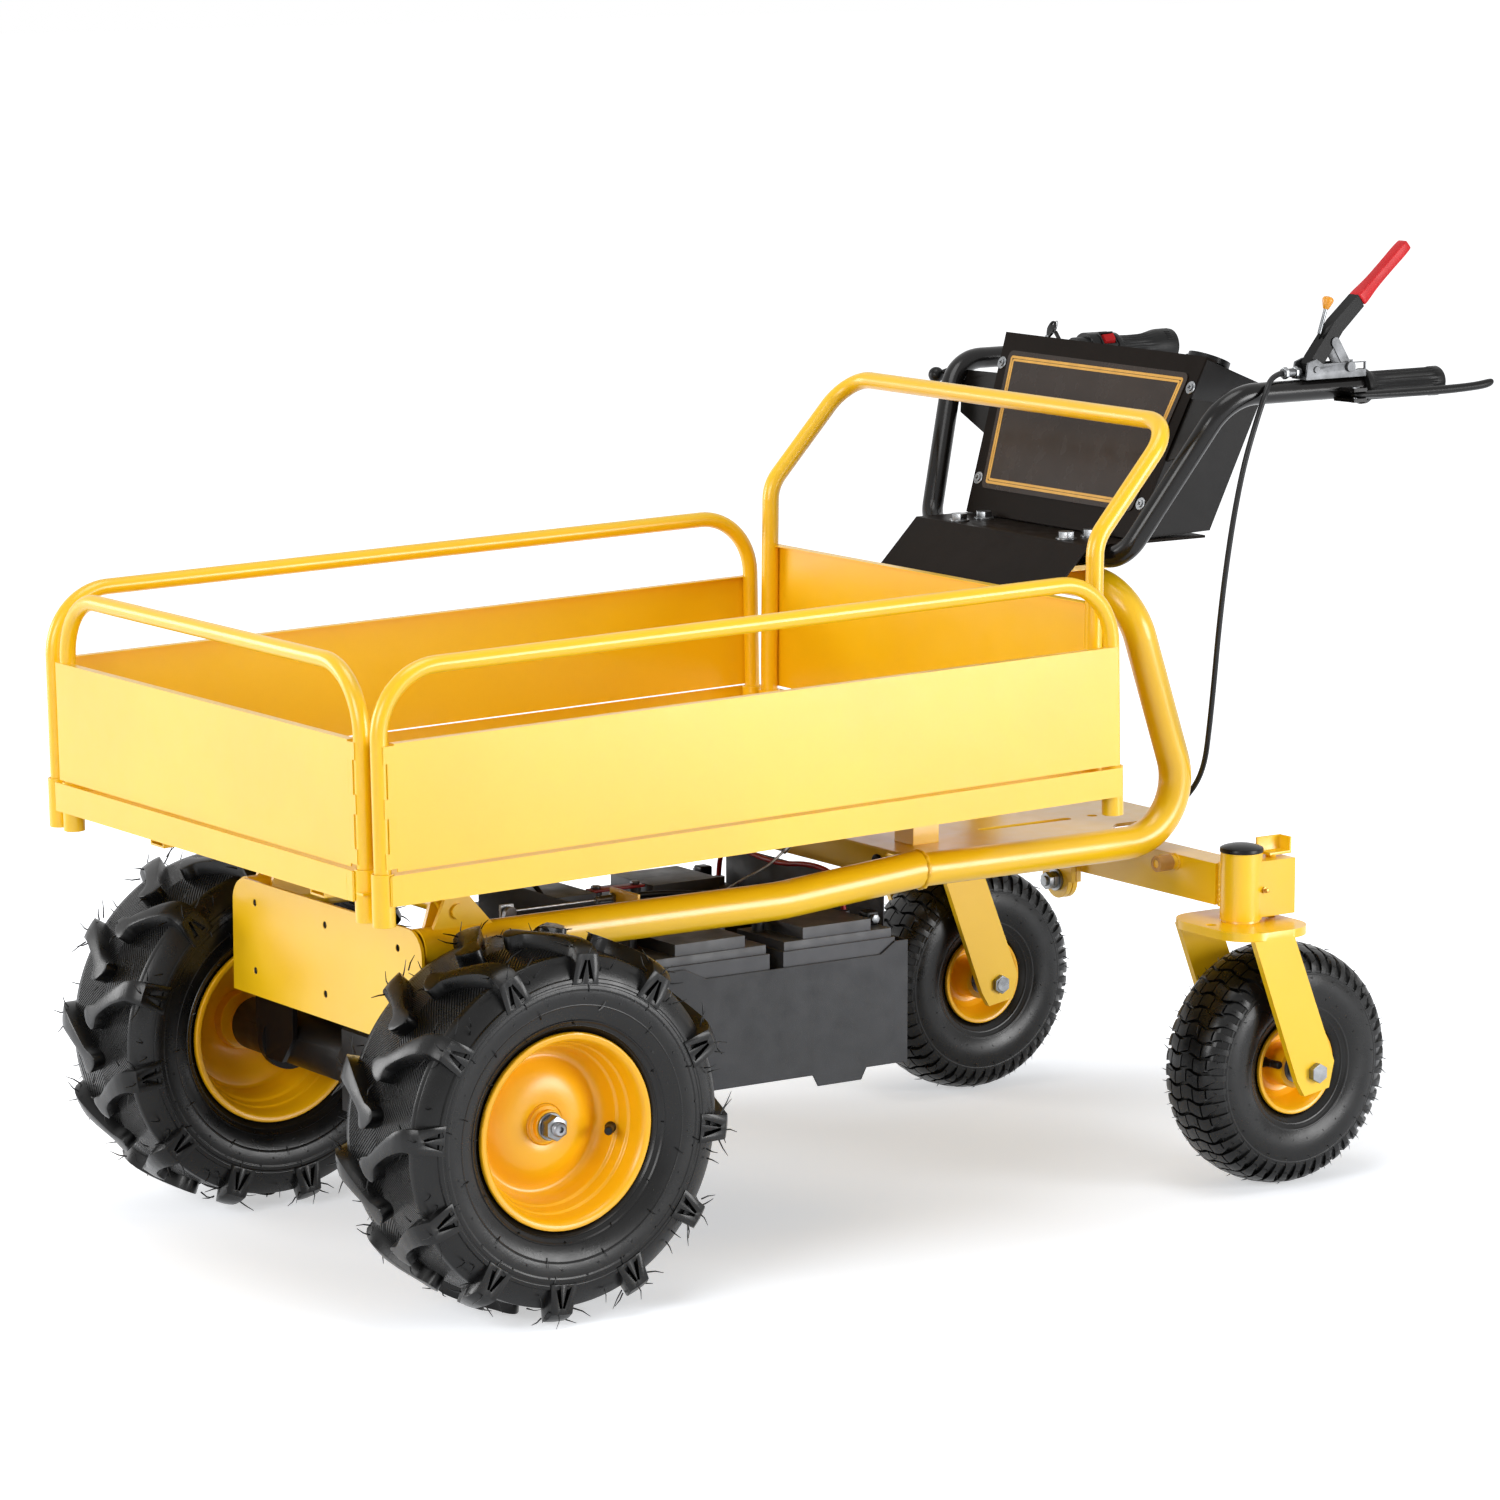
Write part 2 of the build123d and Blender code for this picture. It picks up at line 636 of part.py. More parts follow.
side_sockets = [(u, side * side_post_y, post_radius, 0.0) for u in (0, bed_length) for _, side in sides]
end_sockets = [(0, side * end_post_y, post_radius, 0.0) for _, side in sides]
guard_sockets = [(bed_length, side * guard_post_y, guard_radius, guard_foot) for _, side in sides]
all_sockets = side_sockets + end_sockets + guard_sockets
socket_rim = socket_fit + socket_wall + 0.3
band_thick = 2.4


def bed_pan():
    outer_y = side_post_y + post_radius + socket_rim
    back_u = bed_length + guard_radius + socket_rim
    front_u = -post_radius - socket_rim
    corner = 14
    shape = block(front_u, back_u, -outer_y, outer_y, floor_low, floor_high)
    for _, side in sides:
        y_low, y_high = sorted((side * (outer_y - 0.1), side * (outer_y + band_thick)))
        shape += block(corner, bed_length + 2, y_low, y_high, band_low, band_high)
        y_low, y_high = sorted((side * (end_post_y + corner), side * (outer_y + 5)))
        shape -= block(front_u - 5, corner, y_low, y_high, 0, 80)
        y_low, y_high = sorted((side * (guard_post_y + corner), side * (outer_y + 5)))
        shape -= block(bed_length + 2, back_u + 5, y_low, y_high, 0, 80)
    back_half = guard_post_y + corner
    shape += block(back_u - 0.1, back_u + band_thick, -back_half, back_half, band_low, band_high)
    front_ends = (-end_post_y + corner, end_post_y + corner)
    shape += block(front_u - band_thick, front_u + 0.1, *front_ends, band_low, band_high)
    for u, y, radius, _ in all_sockets:
        shape -= rod((u, y, 0), (u, y, 80), radius + socket_rim - 0.1)
    return bed_place(shape)


def bed_socket(u, y, radius, foot):
    bore = radius + socket_fit
    wall = rod((u, y, foot), (u, y, socket_height), bore + socket_wall, bore)
    return bed_place(wall + rod((u, y, foot), (u, y, foot + 2), bore + 0.1))


def bed_rails():
    top = floor_low - 0.2
    shape = None
    for _, side in sides:
        y = side * bed_rail_y
        rail = block(25, 930, y - bed_rail_half, y + bed_rail_half, 0, top)
        rail -= block(20, 935, y - bed_rail_half + 2.5, y + bed_rail_half - 2.5, 2.5, top - 2.5)
        shape = rail if shape is None else shape + rail
    for u in (110, 470, 850):
        cross = block(u - 20, u + 20, -bed_rail_y, bed_rail_y, 2, top)
        cross -= block(u - 17.5, u + 17.5, -bed_rail_y, bed_rail_y, -5, top - 2.5)
        shape += cross
    shape = bed_place(shape)
    ear = [(hinge_x - 40, 452), (hinge_x - 12, hinge_z), (hinge_x + 12, hinge_z), (hinge_x + 40, 452)]
    for half in both_sides(prism(ear, "y", bed_rail_y - 4, bed_rail_y + 4)):
        shape += half
    for _, side in sides:
        low = side * bed_rail_y - 4
        shape += rod((hinge_x, low, hinge_z), (hinge_x, low + 8, hinge_z), 12.5)
    shape -= rod((hinge_x, -250, hinge_z), (hinge_x, 250, hinge_z), hinge_radius + 0.08)
    return shape


save("bed_pan", bed_pan())
save("bed_sockets", *[bed_socket(*socket) for socket in all_sockets])
save("bed_rails", bed_rails())


# Lift-out gates: a bent tube with a welded sheet, plugged into the sockets

post_foot = 3.0
bend_radius = 70.0
stitches = ((60, 76), (112, 132), (168, 186))


def front_gate():
    points = [(0, -end_post_y, post_foot), (0, -end_post_y, rail_height), (0, end_post_y, rail_height),
              (0, end_post_y, post_foot)]
    shape = tube(points, [bend_radius, bend_radius], post_radius, post_radius - 2)
    outside = -post_radius - 1
    shape += block(outside, outside + sheet_thick, -end_post_y + 12, end_post_y + 11, sheet_low, sheet_high)
    for low, high in stitches:
        shape += block(outside, outside + sheet_thick, -end_post_y - 1, -end_post_y + 13, low, high)
    shape += block(outside, 0, -end_post_y + 12, end_post_y, sheet_high - sheet_thick, sheet_high)
    return bed_place(shape)


def side_gate():
    points = [
        (0, side_post_y, post_foot), (0, side_post_y, rail_height), (bed_length, side_post_y, rail_height),
        (bed_length, side_post_y, post_foot),
    ]
    shape = tube(points, [bend_radius, bend_radius], post_radius, post_radius - 2)
    outside = side_post_y + post_radius + 1
    shape += block(12, bed_length + 2, outside - sheet_thick, outside, sheet_low, sheet_high)
    for low, high in stitches:
        shape += block(-1, 13, outside - sheet_thick, outside, low, high)
    shape += block(12, bed_length, side_post_y, outside, sheet_high - sheet_thick, sheet_high)
    return bed_place(shape)


def rear_guard():
    straight = 80
    half = [
        (bed_length, guard_post_y, guard_foot + post_foot), (bed_length, guard_post_y, straight),
        (guard_lean_u, guard_post_y, guard_lean_w), (guard_top_u, guard_top_y, guard_top_w),
    ]
    points = [(u, -y, w) for u, y, w in half] + half[::-1]
    shape = tube(points, [600.0, 45.0, 45.0, 45.0, 45.0, 600.0], guard_radius, guard_radius - 2)
    lean = (guard_lean_u - bed_length) / (guard_lean_w - straight)
    low_u = bed_length + guard_radius - 0.5
    high_u = low_u + lean * (guard_sheet_high - straight)
    low, high = sheet_low + 2, guard_sheet_high
    wide = guard_post_y + guard_radius
    sheet = [(low_u, low), (low_u + sheet_thick, low), (high_u + sheet_thick, high), (high_u, high)]
    shape += prism(sheet, "y", -wide, wide)
    shape += block(high_u - 9, high_u + 1, -wide, wide, high - sheet_thick, high)
    return bed_place(shape)


save("front_gate", front_gate())
right_gate = side_gate()
save("right_gate", right_gate)
save("left_gate", mirror(right_gate, about=Plane.XZ))
save("rear_guard", rear_guard())


# Handlebar, mounting plate and console

bar_points = [
    (handle_end, -handle_y, handle_z), (handle_start, -handle_y, handle_z), (cross_x, -cross_half, cross_z),
    (cross_x, cross_half, cross_z), (handle_start, handle_y, handle_z), (handle_end, handle_y, handle_z),
]
bar_bends = [60.0, 40.0, 40.0, 60.0]


def handlebar():
    shape = tube(bar_points, bar_bends, bar_radius, bar_radius - bar_wall)
    lug = [(556, -handle_y - 4), (582, -handle_y - 4), (579, lever_pivot_y - 9), (560, lever_pivot_y - 9)]
    for low, high in ((lever_low - 4.5, lever_low - 0.5), (lever_high + 0.5, lever_high + 4.5)):
        shape += prism(lug, "z", low, high)
    shape -= rod((lever_pivot_x, lever_pivot_y, 880), (lever_pivot_x, lever_pivot_y, 915), 3.06)
    shape -= rod((540, -handle_y, handle_z), (600, -handle_y, handle_z), bar_radius - bar_wall)
    x, y, z = ball_pivot
    arm = [(handle_y + 9, z + 10), (handle_y + 9, z - 5), (y + 5, z - 5), (y + 5, z + 5)]
    shape += prism(arm, "x", x + 5, x + 9) + rod((x - 6, y, z), (x + 6, y, z), 3)
    return shape - tube(bar_points, bar_bends, bar_radius - bar_wall)


def mount_plate():
    shape = prism(
        [(cross_x - 34, mount_low), (450, mount_low), (450, mount_high), (cross_x - 35.2, mount_high),
         (cross_x - 87.2, mount_high - 52), (cross_x - 85, mount_high - 54.2)], "y", -mount_half, mount_half,
    )
    for x in (cross_x - 18, cross_x + 18):
        for y in (-102, 102):
            shape -= rod((x, y, mount_low - 5), (x, y, mount_high + 5), 5.3)
    return shape - tube(bar_points, bar_bends, bar_radius + 0.2)


face_rise = Vector(face_top[0] - face_foot[0], 0, face_top[1] - face_foot[1])
face_up = face_rise.normalized()
face_plane = Plane(origin=(face_foot[0], 0, face_foot[1]), x_dir=(0, -1, 0), z_dir=(-face_up.Z, 0, face_up.X))
top_back = Vector(face_up.Z, 0, -face_up.X)


def console_half(z):
    return console_half_low + console_spread * (z - face_foot[1])


def top_point(back, y, lift=0.0):
    return Vector(face_top[0], y, face_top[1]) + top_back * back + face_up * lift


def console_shell():
    back_top = top_point(console_depth, 0)
    profile = [face_foot, face_top, (back_top.X, back_top.Z), console_back_foot]
    solid = prism(profile, "y", -220, 220)
    low, high, out = 700, 960, 260
    corners = [(console_half(low), low), (console_half(high), high), (out, high), (out, low)]
    cut = prism(corners, "x", 320, 560)
    for half in both_sides(cut):
        solid -= half
    front = solid.faces().sort_by(lambda face: face.center().X)[0]
    shape = offset(solid, amount=-sheet_metal, openings=front)
    shape += rod(top_point(40, 164, -1), top_point(40, 164, 4), 11)
    shape += rod(top_point(45, -135, -1), top_point(45, -135, 6), 22)
    wing = [(console_half_low + 10, 94.5), (232, 118), (255, 170), (console_half_low + 10, 172)]
    for side in (-1, 1):
        outline = Polyline(*[(side * across, rise) for across, rise in wing], close=True)
        shape += extrude(face_plane.offset(-3.2) * make_face(outline), amount=3.0, dir=face_plane.z_dir)
    room = console_half_low - 6
    shape -= prism([(360, 737), (435, 925), (500, 905), (455, 745)], "y", -room, room)
    return shape - tube(bar_points, bar_bends, bar_radius + 0.3)


def face_panel(low, high, half_low, half_high, back, front, radius=0.0):
    points = [(-half_low, low), (half_low, low), (half_high, high), (-half_high, high)]
    outline = FilletPolyline(*points, radius=radius, close=True) if radius else Polyline(*points, close=True)
    return extrude(face_plane.offset(back) * make_face(outline), amount=front - back, dir=face_plane.z_dir)


def console_face():
    height = face_rise.length
    top_half = console_half(face_top[1])
    panel = face_panel(0, height + 2.6, console_half_low, top_half + 0.4, 0.2, 2.7)
    lip = face_panel(height + 0.3, height + 2.6, top_half, top_half + 0.4, -14, 0.3)
    return panel + lip


def screw(across, rise):
    plane = face_plane.offset(2.9)
    return extrude(plane * (Pos(across, rise) * Circle(4.5)), amount=2.4, dir=face_plane.z_dir)


label_panel = face_panel(31, 200, 142, 170, 2.9, 4.1, radius=8.0)
screws = [screw(side * across, rise) for side in (-1, 1) for across, rise in ((178, 183.7), (154, 41.9))]


def mount_bolt(x, y):
    shank = rod((x, y, cross_z - bar_radius - 4), (x, y, mount_high + 2), 5)
    washer = rod((x, y, mount_high + 0.1), (x, y, mount_high + 2), 12)
    return shank + washer + hexagon((x, y, mount_high + 2), (0, 0, 1), 17, 7)


def rock_bolt():
    shank = rod((346, 0, pivot_z), (beam_front + 7.2, 0, pivot_z), pivot_radius)
    nuts = [hexagon((x, 0, pivot_z), (1, 0, 0), 18, 6) for x in (349, 356)]
    washer = rod((hanger_front - 4, 0, pivot_z), (hanger_front - 0.2, 0, pivot_z), 13)
    head = hexagon((beam_front + 0.5, 0, pivot_z), (1, 0, 0), 18, 6.7)
    return shank + nuts + washer + head


mount_bolts = [mount_bolt(x, y) for x in (cross_x - 18, cross_x + 18) for y in (-102, 102)]
save("handlebar", handlebar())
save("mount_plate", mount_plate())
save("console_shell", console_shell())
save("console_face", console_face())
save("label_panel", label_panel)
save("frame_bolts", *mount_bolts, *screws, rock_bolt())


# Key switch key and charge-port cap on the console top

def console_key():
    top_plane = Plane(origin=top_point(40, 164, 4.3), x_dir=(0, 1, 0), z_dir=face_up)
    stem = extrude(top_plane * Circle(4), amount=9)
    bow = extrude(top_plane.offset(8) * Rectangle(20, 3.2), amount=18)
    return stem + bow


def charge_cap():
    shape = rod(top_point(45, -135, 6.4), top_point(45, -135, 13), 25)
    arm = Plane(origin=top_point(45, -135, 6.4), x_dir=(0, 1, 0), z_dir=face_up)
    knuckle = rod(top_point(36, -105, 9.4), top_point(54, -105, 9.4), 3)
    return shape + extrude(arm * (Pos(26, 0) * Rectangle(12, 14)), amount=6) + knuckle


save("ignition_key", console_key())
save("charge_cap", charge_cap())


# Left grip, and the throttle with its rocker switch on the right handle

def left_grip():
    flange = rod((597, -handle_y, handle_z), (605, -handle_y, handle_z), 20.5)
    sleeve = rod((604, -handle_y, handle_z), (712, -handle_y, handle_z), 16.5)
    end = rod((702, -handle_y, handle_z), (714, -handle_y, handle_z), 17.2)
    bore = rod((590, -handle_y, handle_z), (handle_end + 0.3, -handle_y, handle_z), bar_radius + 0.05)
    return flange + sleeve + end - bore


def lean_to_operator(shape):
    return shape.rotate(Axis((0, handle_y, handle_z), (1, 0, 0)), rocker_lean)


def throttle_housing():
    axis = (handle_y, handle_z)
    shape = rod((housing_front, *axis), (housing_front + 18, *axis), 17)
    shape += rod((housing_front + 16, *axis), (housing_back, *axis), 22)
    raised = block(rocker_x - 11, rocker_x + 11, handle_y - 10, handle_y + 10, handle_z + 15, handle_z + 24)
    pocket = block(rocker_x - 9.3, rocker_x + 9.3, handle_y - 7.5, handle_y + 7.5,
                   handle_z + 15.5, handle_z + 30)
    shape += lean_to_operator(raised)
    shape -= lean_to_operator(pocket)
    return shape - rod((550, *axis), (650, *axis), bar_radius + 0.05)


def rocker_switch():
    outline = [(rocker_x - 8.5, handle_z + 20), (rocker_x - 6.6, handle_z + 18),
               (rocker_x + 6.6, handle_z + 18), (rocker_x + 8.5, handle_z + 20),
               (rocker_x + 7.6, handle_z + 28.5), (rocker_x, handle_z + 26),
               (rocker_x - 7.6, handle_z + 25.5)]
    pivot = rod((rocker_x, handle_y - 7.4, handle_z + 20), (rocker_x, handle_y + 7.4, handle_z + 20), 1.5)
    return lean_to_operator(prism(outline, "y", handle_y - 7, handle_y + 7) + pivot)


def throttle_grip():
    axis = (handle_y, handle_z)
    shape = rod((throttle_front, *axis), (throttle_front + 7, *axis), 20)
    shape += rod((throttle_front + 6, *axis), (throttle_back, *axis), 16.5)
    flare = Plane((throttle_back - 46, *axis), x_dir=(0, 1, 0), z_dir=(1, 0, 0))
    shape += loft([flare * Circle(16), flare.offset(24) * Circle(throttle_flare)])
    shape += rod((throttle_back - 22.5, *axis), (throttle_back, *axis), throttle_flare)
    return shape - rod((630, *axis), (handle_end + 1, *axis), bar_radius + 0.05)


save("left_grip", left_grip())
save("throttle_housing", throttle_housing())
save("rocker_switch", rocker_switch())
save("throttle_grip", throttle_grip())


# Parking brake: base channel, lever, red grip, release knob and toggle link

def park(dx, dz):
    return (park_x + dx, park_z + dz)


def parking_base():
    floor_z = handle_z + bar_radius + 0.3
    wall_points = [
        (park_x - 15, floor_z), (park_x + 74, floor_z), park(74, 6), park(10, 6), park(0, 12), park(-12, 8),
    ]
    shape = block(park_x - 15, park_x + 74, -handle_y - 13, -handle_y + 13, floor_z, floor_z + 3)
    for low in (-handle_y - 13, -handle_y + 10):
        shape += prism(wall_points, "y", low, low + 3)
    slot_front = park_x + link_lower[0] - 4.2
    slot_back = park_x + link_lower[0] + slot_travel + 4.2
    slot_z = park_z + link_lower[1]
    shape -= block(slot_front, slot_back, -handle_y - 20, -handle_y + 20, slot_z - 3.8, slot_z + 3.8)
    shape += rod((park_x, -handle_y - 15, park_z), (park_x, -handle_y + 15, park_z), 4)
    adjuster = rod((park_x - 40, -handle_y, park_z - 3), (park_x - 14, -handle_y, park_z - 3), 5)
    return [shape, adjuster]


def parking_lever():
    web = [
        park(-9, 9), park(-4, 18), park(27, 58), park(62, 84), park(76, 66), park(44, 40), park(12, -4),
        park(0, -7.5), park(-7, -4),
    ]
    shape = prism(web, "y", -handle_y - park_half, -handle_y + park_half)
    hollow = [
        park(-30, -30), park(-3, 4), park(0, 13), park(30, 52), park(57, 72), park(66, 60), park(90, 40),
        park(30, -30),
    ]
    shape -= prism(hollow, "y", -handle_y - park_half + 2, -handle_y + park_half - 2)
    shape -= rod((park_x, -300, park_z), (park_x, -200, park_z), 4.06)
    joint_x, joint_z = park(*link_upper)
    shape -= rod((joint_x, -300, joint_z), (joint_x, -200, joint_z), pin_radius + 0.06)
    knob_low, knob_high = knob_ends()
    return shape - rod(knob_low, knob_high, 2.8)


def knob_ends():
    low = Vector(park_x + 12, -handle_y, park_z + 33)
    high = Vector(park_x + 27.5, -handle_y, park_z + 81)
    return low, high


def release_knob():
    low, high = knob_ends()
    along = (high - low).normalized()
    stem = rod(low + along * 6, high - along * 6, 2.4)
    cap = rod(high - along * 14.5, high, 7)
    return stem + cap


def parking_grip():
    path = [park(69.4, 75.4), park(140, 136)]
    start, end = Vector(path[0][0], -handle_y, path[0][1]), Vector(path[1][0], -handle_y, path[1][1])
    section = Plane(origin=start, x_dir=(0, 1, 0), z_dir=end - start)
    return extrude(section * RectangleRounded(19, 15, 5), amount=(end - start).length)


def toggle_link():
    upper, lower = park(*link_upper), park(*link_lower)
    along = Vector(lower[0] - upper[0], 0, lower[1] - upper[1]).normalized()
    across = Vector(along.Z, 0, -along.X) * 6.0
    corners = [(upper[0] + across.X, upper[1] + across.Z), (upper[0] - across.X, upper[1] - across.Z),
               (lower[0] - across.X, lower[1] - across.Z), (lower[0] + across.X, lower[1] + across.Z)]
    shape = None
    for low in (-handle_y - 9.8, -handle_y + 8.3):
        cheek = prism(corners, "y", low, low + 1.5)
        for x, z in (upper, lower):
            cheek += rod((x, low, z), (x, low + 1.5, z), 6)
        shape = cheek if shape is None else shape + cheek
    shape += rod((upper[0], -handle_y - 9.8, upper[1]), (upper[0], -handle_y + 9.8, upper[1]), pin_radius)
    shape += rod((lower[0], -handle_y - 16, lower[1]), (lower[0], -handle_y + 16, lower[1]), pin_radius)
    for low in (-handle_y - 16.5, -handle_y + 13.5):
        shape += rod((lower[0], low, lower[1]), (lower[0], low + 3, lower[1]), 6)
    return shape


save("parking_base", *parking_base())
save("parking_lever", parking_lever())
save("parking_grip", parking_grip())
save("release_knob", release_knob())
save("toggle_link", toggle_link())


# Brake lever with its rounded end, and the small ball-ended lever on the right handle

def brake_lever():
    blade = [
        (lever_pivot_x - 8, lever_pivot_y - 6), (lever_pivot_x - 6, lever_pivot_y + 6),
        (lever_pivot_x + 22, lever_pivot_y + 5), (600, -281), (lever_end - 8, -288), (lever_end - 8, -294),
        (640, -293), (600, -294), (lever_pivot_x + 10, lever_pivot_y - 8),
    ]
    shape = prism(blade, "z", lever_low, lever_high)
    shape += rod((lever_end - 7, -291, lever_low), (lever_end - 7, -291, lever_high), 7)
    pivot = (lever_pivot_x, lever_pivot_y)
    return shape + rod((*pivot, lever_low - 6), (*pivot, lever_high + 6), 3.0)


def ball_lever():
    x, y, z = ball_pivot
    ring = rod((x - 5, y, z), (x + 4.5, y, z), 6) + rod(ball_pivot, ball_centre, 3)
    return ring - rod((x - 10, y, z), (x + 10, y, z), 3.06) + Pos(*ball_centre) * Sphere(9.5)


save("brake_lever", brake_lever())
save("ball_lever", ball_lever())


# Brake cable, held along the frame from the parking lever to its bracket, the wire that pulls the brake arm,
# and the bed's tether wire

adjuster_length = 42
wire_reach = 20


def brake_cable():
    sheath = cord("brake cable", cable_route, cable_radius)
    x, y, z = cable_route[-1]
    adjuster = rod((x - 0.8, y, z), (x - adjuster_length, y, z), 5.5, wire_radius + 0.05)
    bracket = block(x - 18, x - 14, -tube_y + front_tube_radius - 8, y + 9, z - 13, z + 11)
    bracket -= rod((x - 40, y, z), (x, y, z), 5.6)
    clear = front_tube_radius + 0.2
    bracket -= rod((x - 40, -tube_y, front_tube_z), (x, -tube_y, front_tube_z), clear)
    return [sheath, adjuster, bracket]


def brake_wire():
    x, y, z = cable_route[-1]
    pin_x, pin_z = arm_tip
    wire = rod((x - adjuster_length + wire_reach, y, z), (pin_x + 7, y, z), wire_radius)
    eye = block(pin_x - 8, pin_x + 8, y - 2, y + 2, pin_z - wire_drop - 8, pin_z + 8)
    slot = block(pin_x - 4.2, pin_x + 4.2, y - 5, y + 5, pin_z - wire_drop, pin_z)
    for end_z in (pin_z - wire_drop, pin_z):
        slot += rod((pin_x, y - 5, end_z), (pin_x, y + 5, end_z), 4.2)
    return wire + eye - slot


save("brake_cable", *brake_cable())
save("brake_wire", brake_wire())
save("tether_wire", cord("tether wire", tether_route, tether_radius))
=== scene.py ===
import bpy
import json
import math
import random
from mathutils import Matrix, Vector

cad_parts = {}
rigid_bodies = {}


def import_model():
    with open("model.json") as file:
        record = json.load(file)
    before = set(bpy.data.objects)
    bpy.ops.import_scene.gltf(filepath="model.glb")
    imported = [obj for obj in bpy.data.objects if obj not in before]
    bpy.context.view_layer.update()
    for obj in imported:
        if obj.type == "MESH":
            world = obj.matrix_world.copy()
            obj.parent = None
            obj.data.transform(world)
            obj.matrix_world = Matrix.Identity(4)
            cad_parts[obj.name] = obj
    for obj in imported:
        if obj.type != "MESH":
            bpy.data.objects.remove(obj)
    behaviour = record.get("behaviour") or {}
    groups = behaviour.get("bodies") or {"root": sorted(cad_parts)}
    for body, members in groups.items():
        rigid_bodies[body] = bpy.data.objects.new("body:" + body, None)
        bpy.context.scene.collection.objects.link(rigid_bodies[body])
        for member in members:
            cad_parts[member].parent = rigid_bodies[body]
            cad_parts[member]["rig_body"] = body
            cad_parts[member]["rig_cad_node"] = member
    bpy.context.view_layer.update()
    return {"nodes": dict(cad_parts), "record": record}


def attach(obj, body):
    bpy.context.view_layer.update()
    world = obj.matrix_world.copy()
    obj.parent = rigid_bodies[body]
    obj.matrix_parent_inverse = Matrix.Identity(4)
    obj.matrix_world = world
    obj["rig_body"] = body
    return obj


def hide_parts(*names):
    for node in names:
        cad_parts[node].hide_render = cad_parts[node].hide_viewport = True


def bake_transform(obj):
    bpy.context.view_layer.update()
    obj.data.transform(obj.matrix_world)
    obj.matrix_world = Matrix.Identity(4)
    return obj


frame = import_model()
nodes = frame["nodes"]
mm = 0.001
sides = (("Left", "left", -1), ("Right", "right", 1))
print("frame loaded with", len(nodes), "nodes")


# selecting and finishing

def clearSelection():
    if bpy.context.object and bpy.context.object.mode != "OBJECT":
        bpy.ops.object.mode_set(mode="OBJECT")
    bpy.ops.object.select_all(action="DESELECT")


def pick(piece):
    clearSelection()
    piece.select_set(True)
    bpy.context.view_layer.objects.active = piece


def editAll(piece):
    pick(piece)
    bpy.ops.object.mode_set(mode="EDIT")
    bpy.ops.mesh.select_all(action="SELECT")


def objectMode():
    bpy.ops.object.mode_set(mode="OBJECT")


def mendMesh(piece, distance=0.00002):
    editAll(piece)
    bpy.ops.mesh.remove_doubles(threshold=distance)
    bpy.ops.mesh.normals_make_consistent(inside=False)
    objectMode()


def useModifier(piece, kind, **values):
    pick(piece)
    modifier = piece.modifiers.new(kind.lower(), kind)
    for key, value in values.items():
        setattr(modifier, key, value)
    bpy.ops.object.modifier_apply(modifier=modifier.name)


def bevelEdges(piece, width, segments=2, angle=35):
    useModifier(piece, "BEVEL", width=width * mm, segments=segments, limit_method="ANGLE",
                angle_limit=math.radians(angle), use_clamp_overlap=True)


def smooth(piece, angle=35):
    pick(piece)
    bpy.ops.object.shade_smooth_by_angle(angle=math.radians(angle))


def placeMesh(piece, matrix):
    piece.data.transform(matrix)
    piece.data.update()


def joinPieces(pieces, name):
    clearSelection()
    for piece in pieces:
        piece.select_set(True)
    bpy.context.view_layer.objects.active = pieces[0]
    bpy.ops.object.join()
    pieces[0].name = name
    return pieces[0]


def copyPiece(piece, name, matrix=None):
    twin = piece.copy()
    twin.data = piece.data.copy()
    twin.name = name
    bpy.context.scene.collection.objects.link(twin)
    if matrix is not None:
        placeMesh(twin, matrix)
    return twin


def dropPiece(piece):
    bpy.data.objects.remove(piece)


def wear(piece, finish):
    piece.data.materials.clear()
    piece.data.materials.append(finish)
    return piece


def settle(piece, body, finish, *stoodFor, slot=None):
    wear(piece, finishes[finish])
    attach(piece, body)
    if stoodFor:
        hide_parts(*stoodFor)
    return piece


def newMesh(kind, name, **values):
    clearSelection()
    getattr(bpy.ops.mesh, f"primitive_{kind}_add")(**values)
    piece = bpy.context.object
    piece.name = name
    return piece


def newCurve(name, kind, places):
    line = bpy.data.curves.new(name, "CURVE")
    line.dimensions = "3D"
    spline = line.splines.new(kind)
    spline.points.add(len(places) - 1)
    for point, place in zip(spline.points, places):
        point.co = (*place, 1.0)
    piece = bpy.data.objects.new(name, line)
    bpy.context.scene.collection.objects.link(piece)
    return piece, spline


def subtract(piece, cutter):
    useModifier(piece, "BOOLEAN", operation="DIFFERENCE", object=cutter, solver="EXACT")
    dropPiece(cutter)


def along(origin, direction):
    turn = Vector((0, 1, 0)).rotation_difference(Vector(direction))  # local Y to the direction
    return Matrix.Translation(Vector(origin) * mm) @ turn.to_matrix().to_4x4()


# camera

photoCamera = {"place": (-3.6531, -5.2026, 1.5630), "target": (-0.072, 0.0, 0.51048), "lens": 136.33,
               "sensor": 36.0, "reach": 100}
clearSelection()
bpy.ops.object.camera_add(location=photoCamera["place"])
camera = bpy.context.object
camera.name = "photoCamera"
camera.data.lens = photoCamera["lens"]
camera.data.sensor_width = photoCamera["sensor"]
camera.data.clip_end = photoCamera["reach"]
sight = Vector(photoCamera["target"]) - Vector(photoCamera["place"])
camera.rotation_euler = sight.to_track_quat("-Z", "Y").to_euler()
bpy.context.scene.camera = camera
bpy.context.scene.view_settings.view_transform = "Standard"
print("camera set")


# finishes

def paint(red, green, blue):  # screen colour to linear
    steps = [value / 255 for value in (red, green, blue)]
    return tuple(c / 12.92 if c <= 0.04045 else ((c + 0.055) / 1.055) ** 2.4 for c in steps) + (1.0,)


def addNode(tree, kind, inputs=None, **settings):
    node = tree.nodes.new("ShaderNode" + kind)
    for key, value in settings.items():
        setattr(node, key, value)
    for key, value in (inputs or {}).items():
        node.inputs[key].default_value = value
    return node


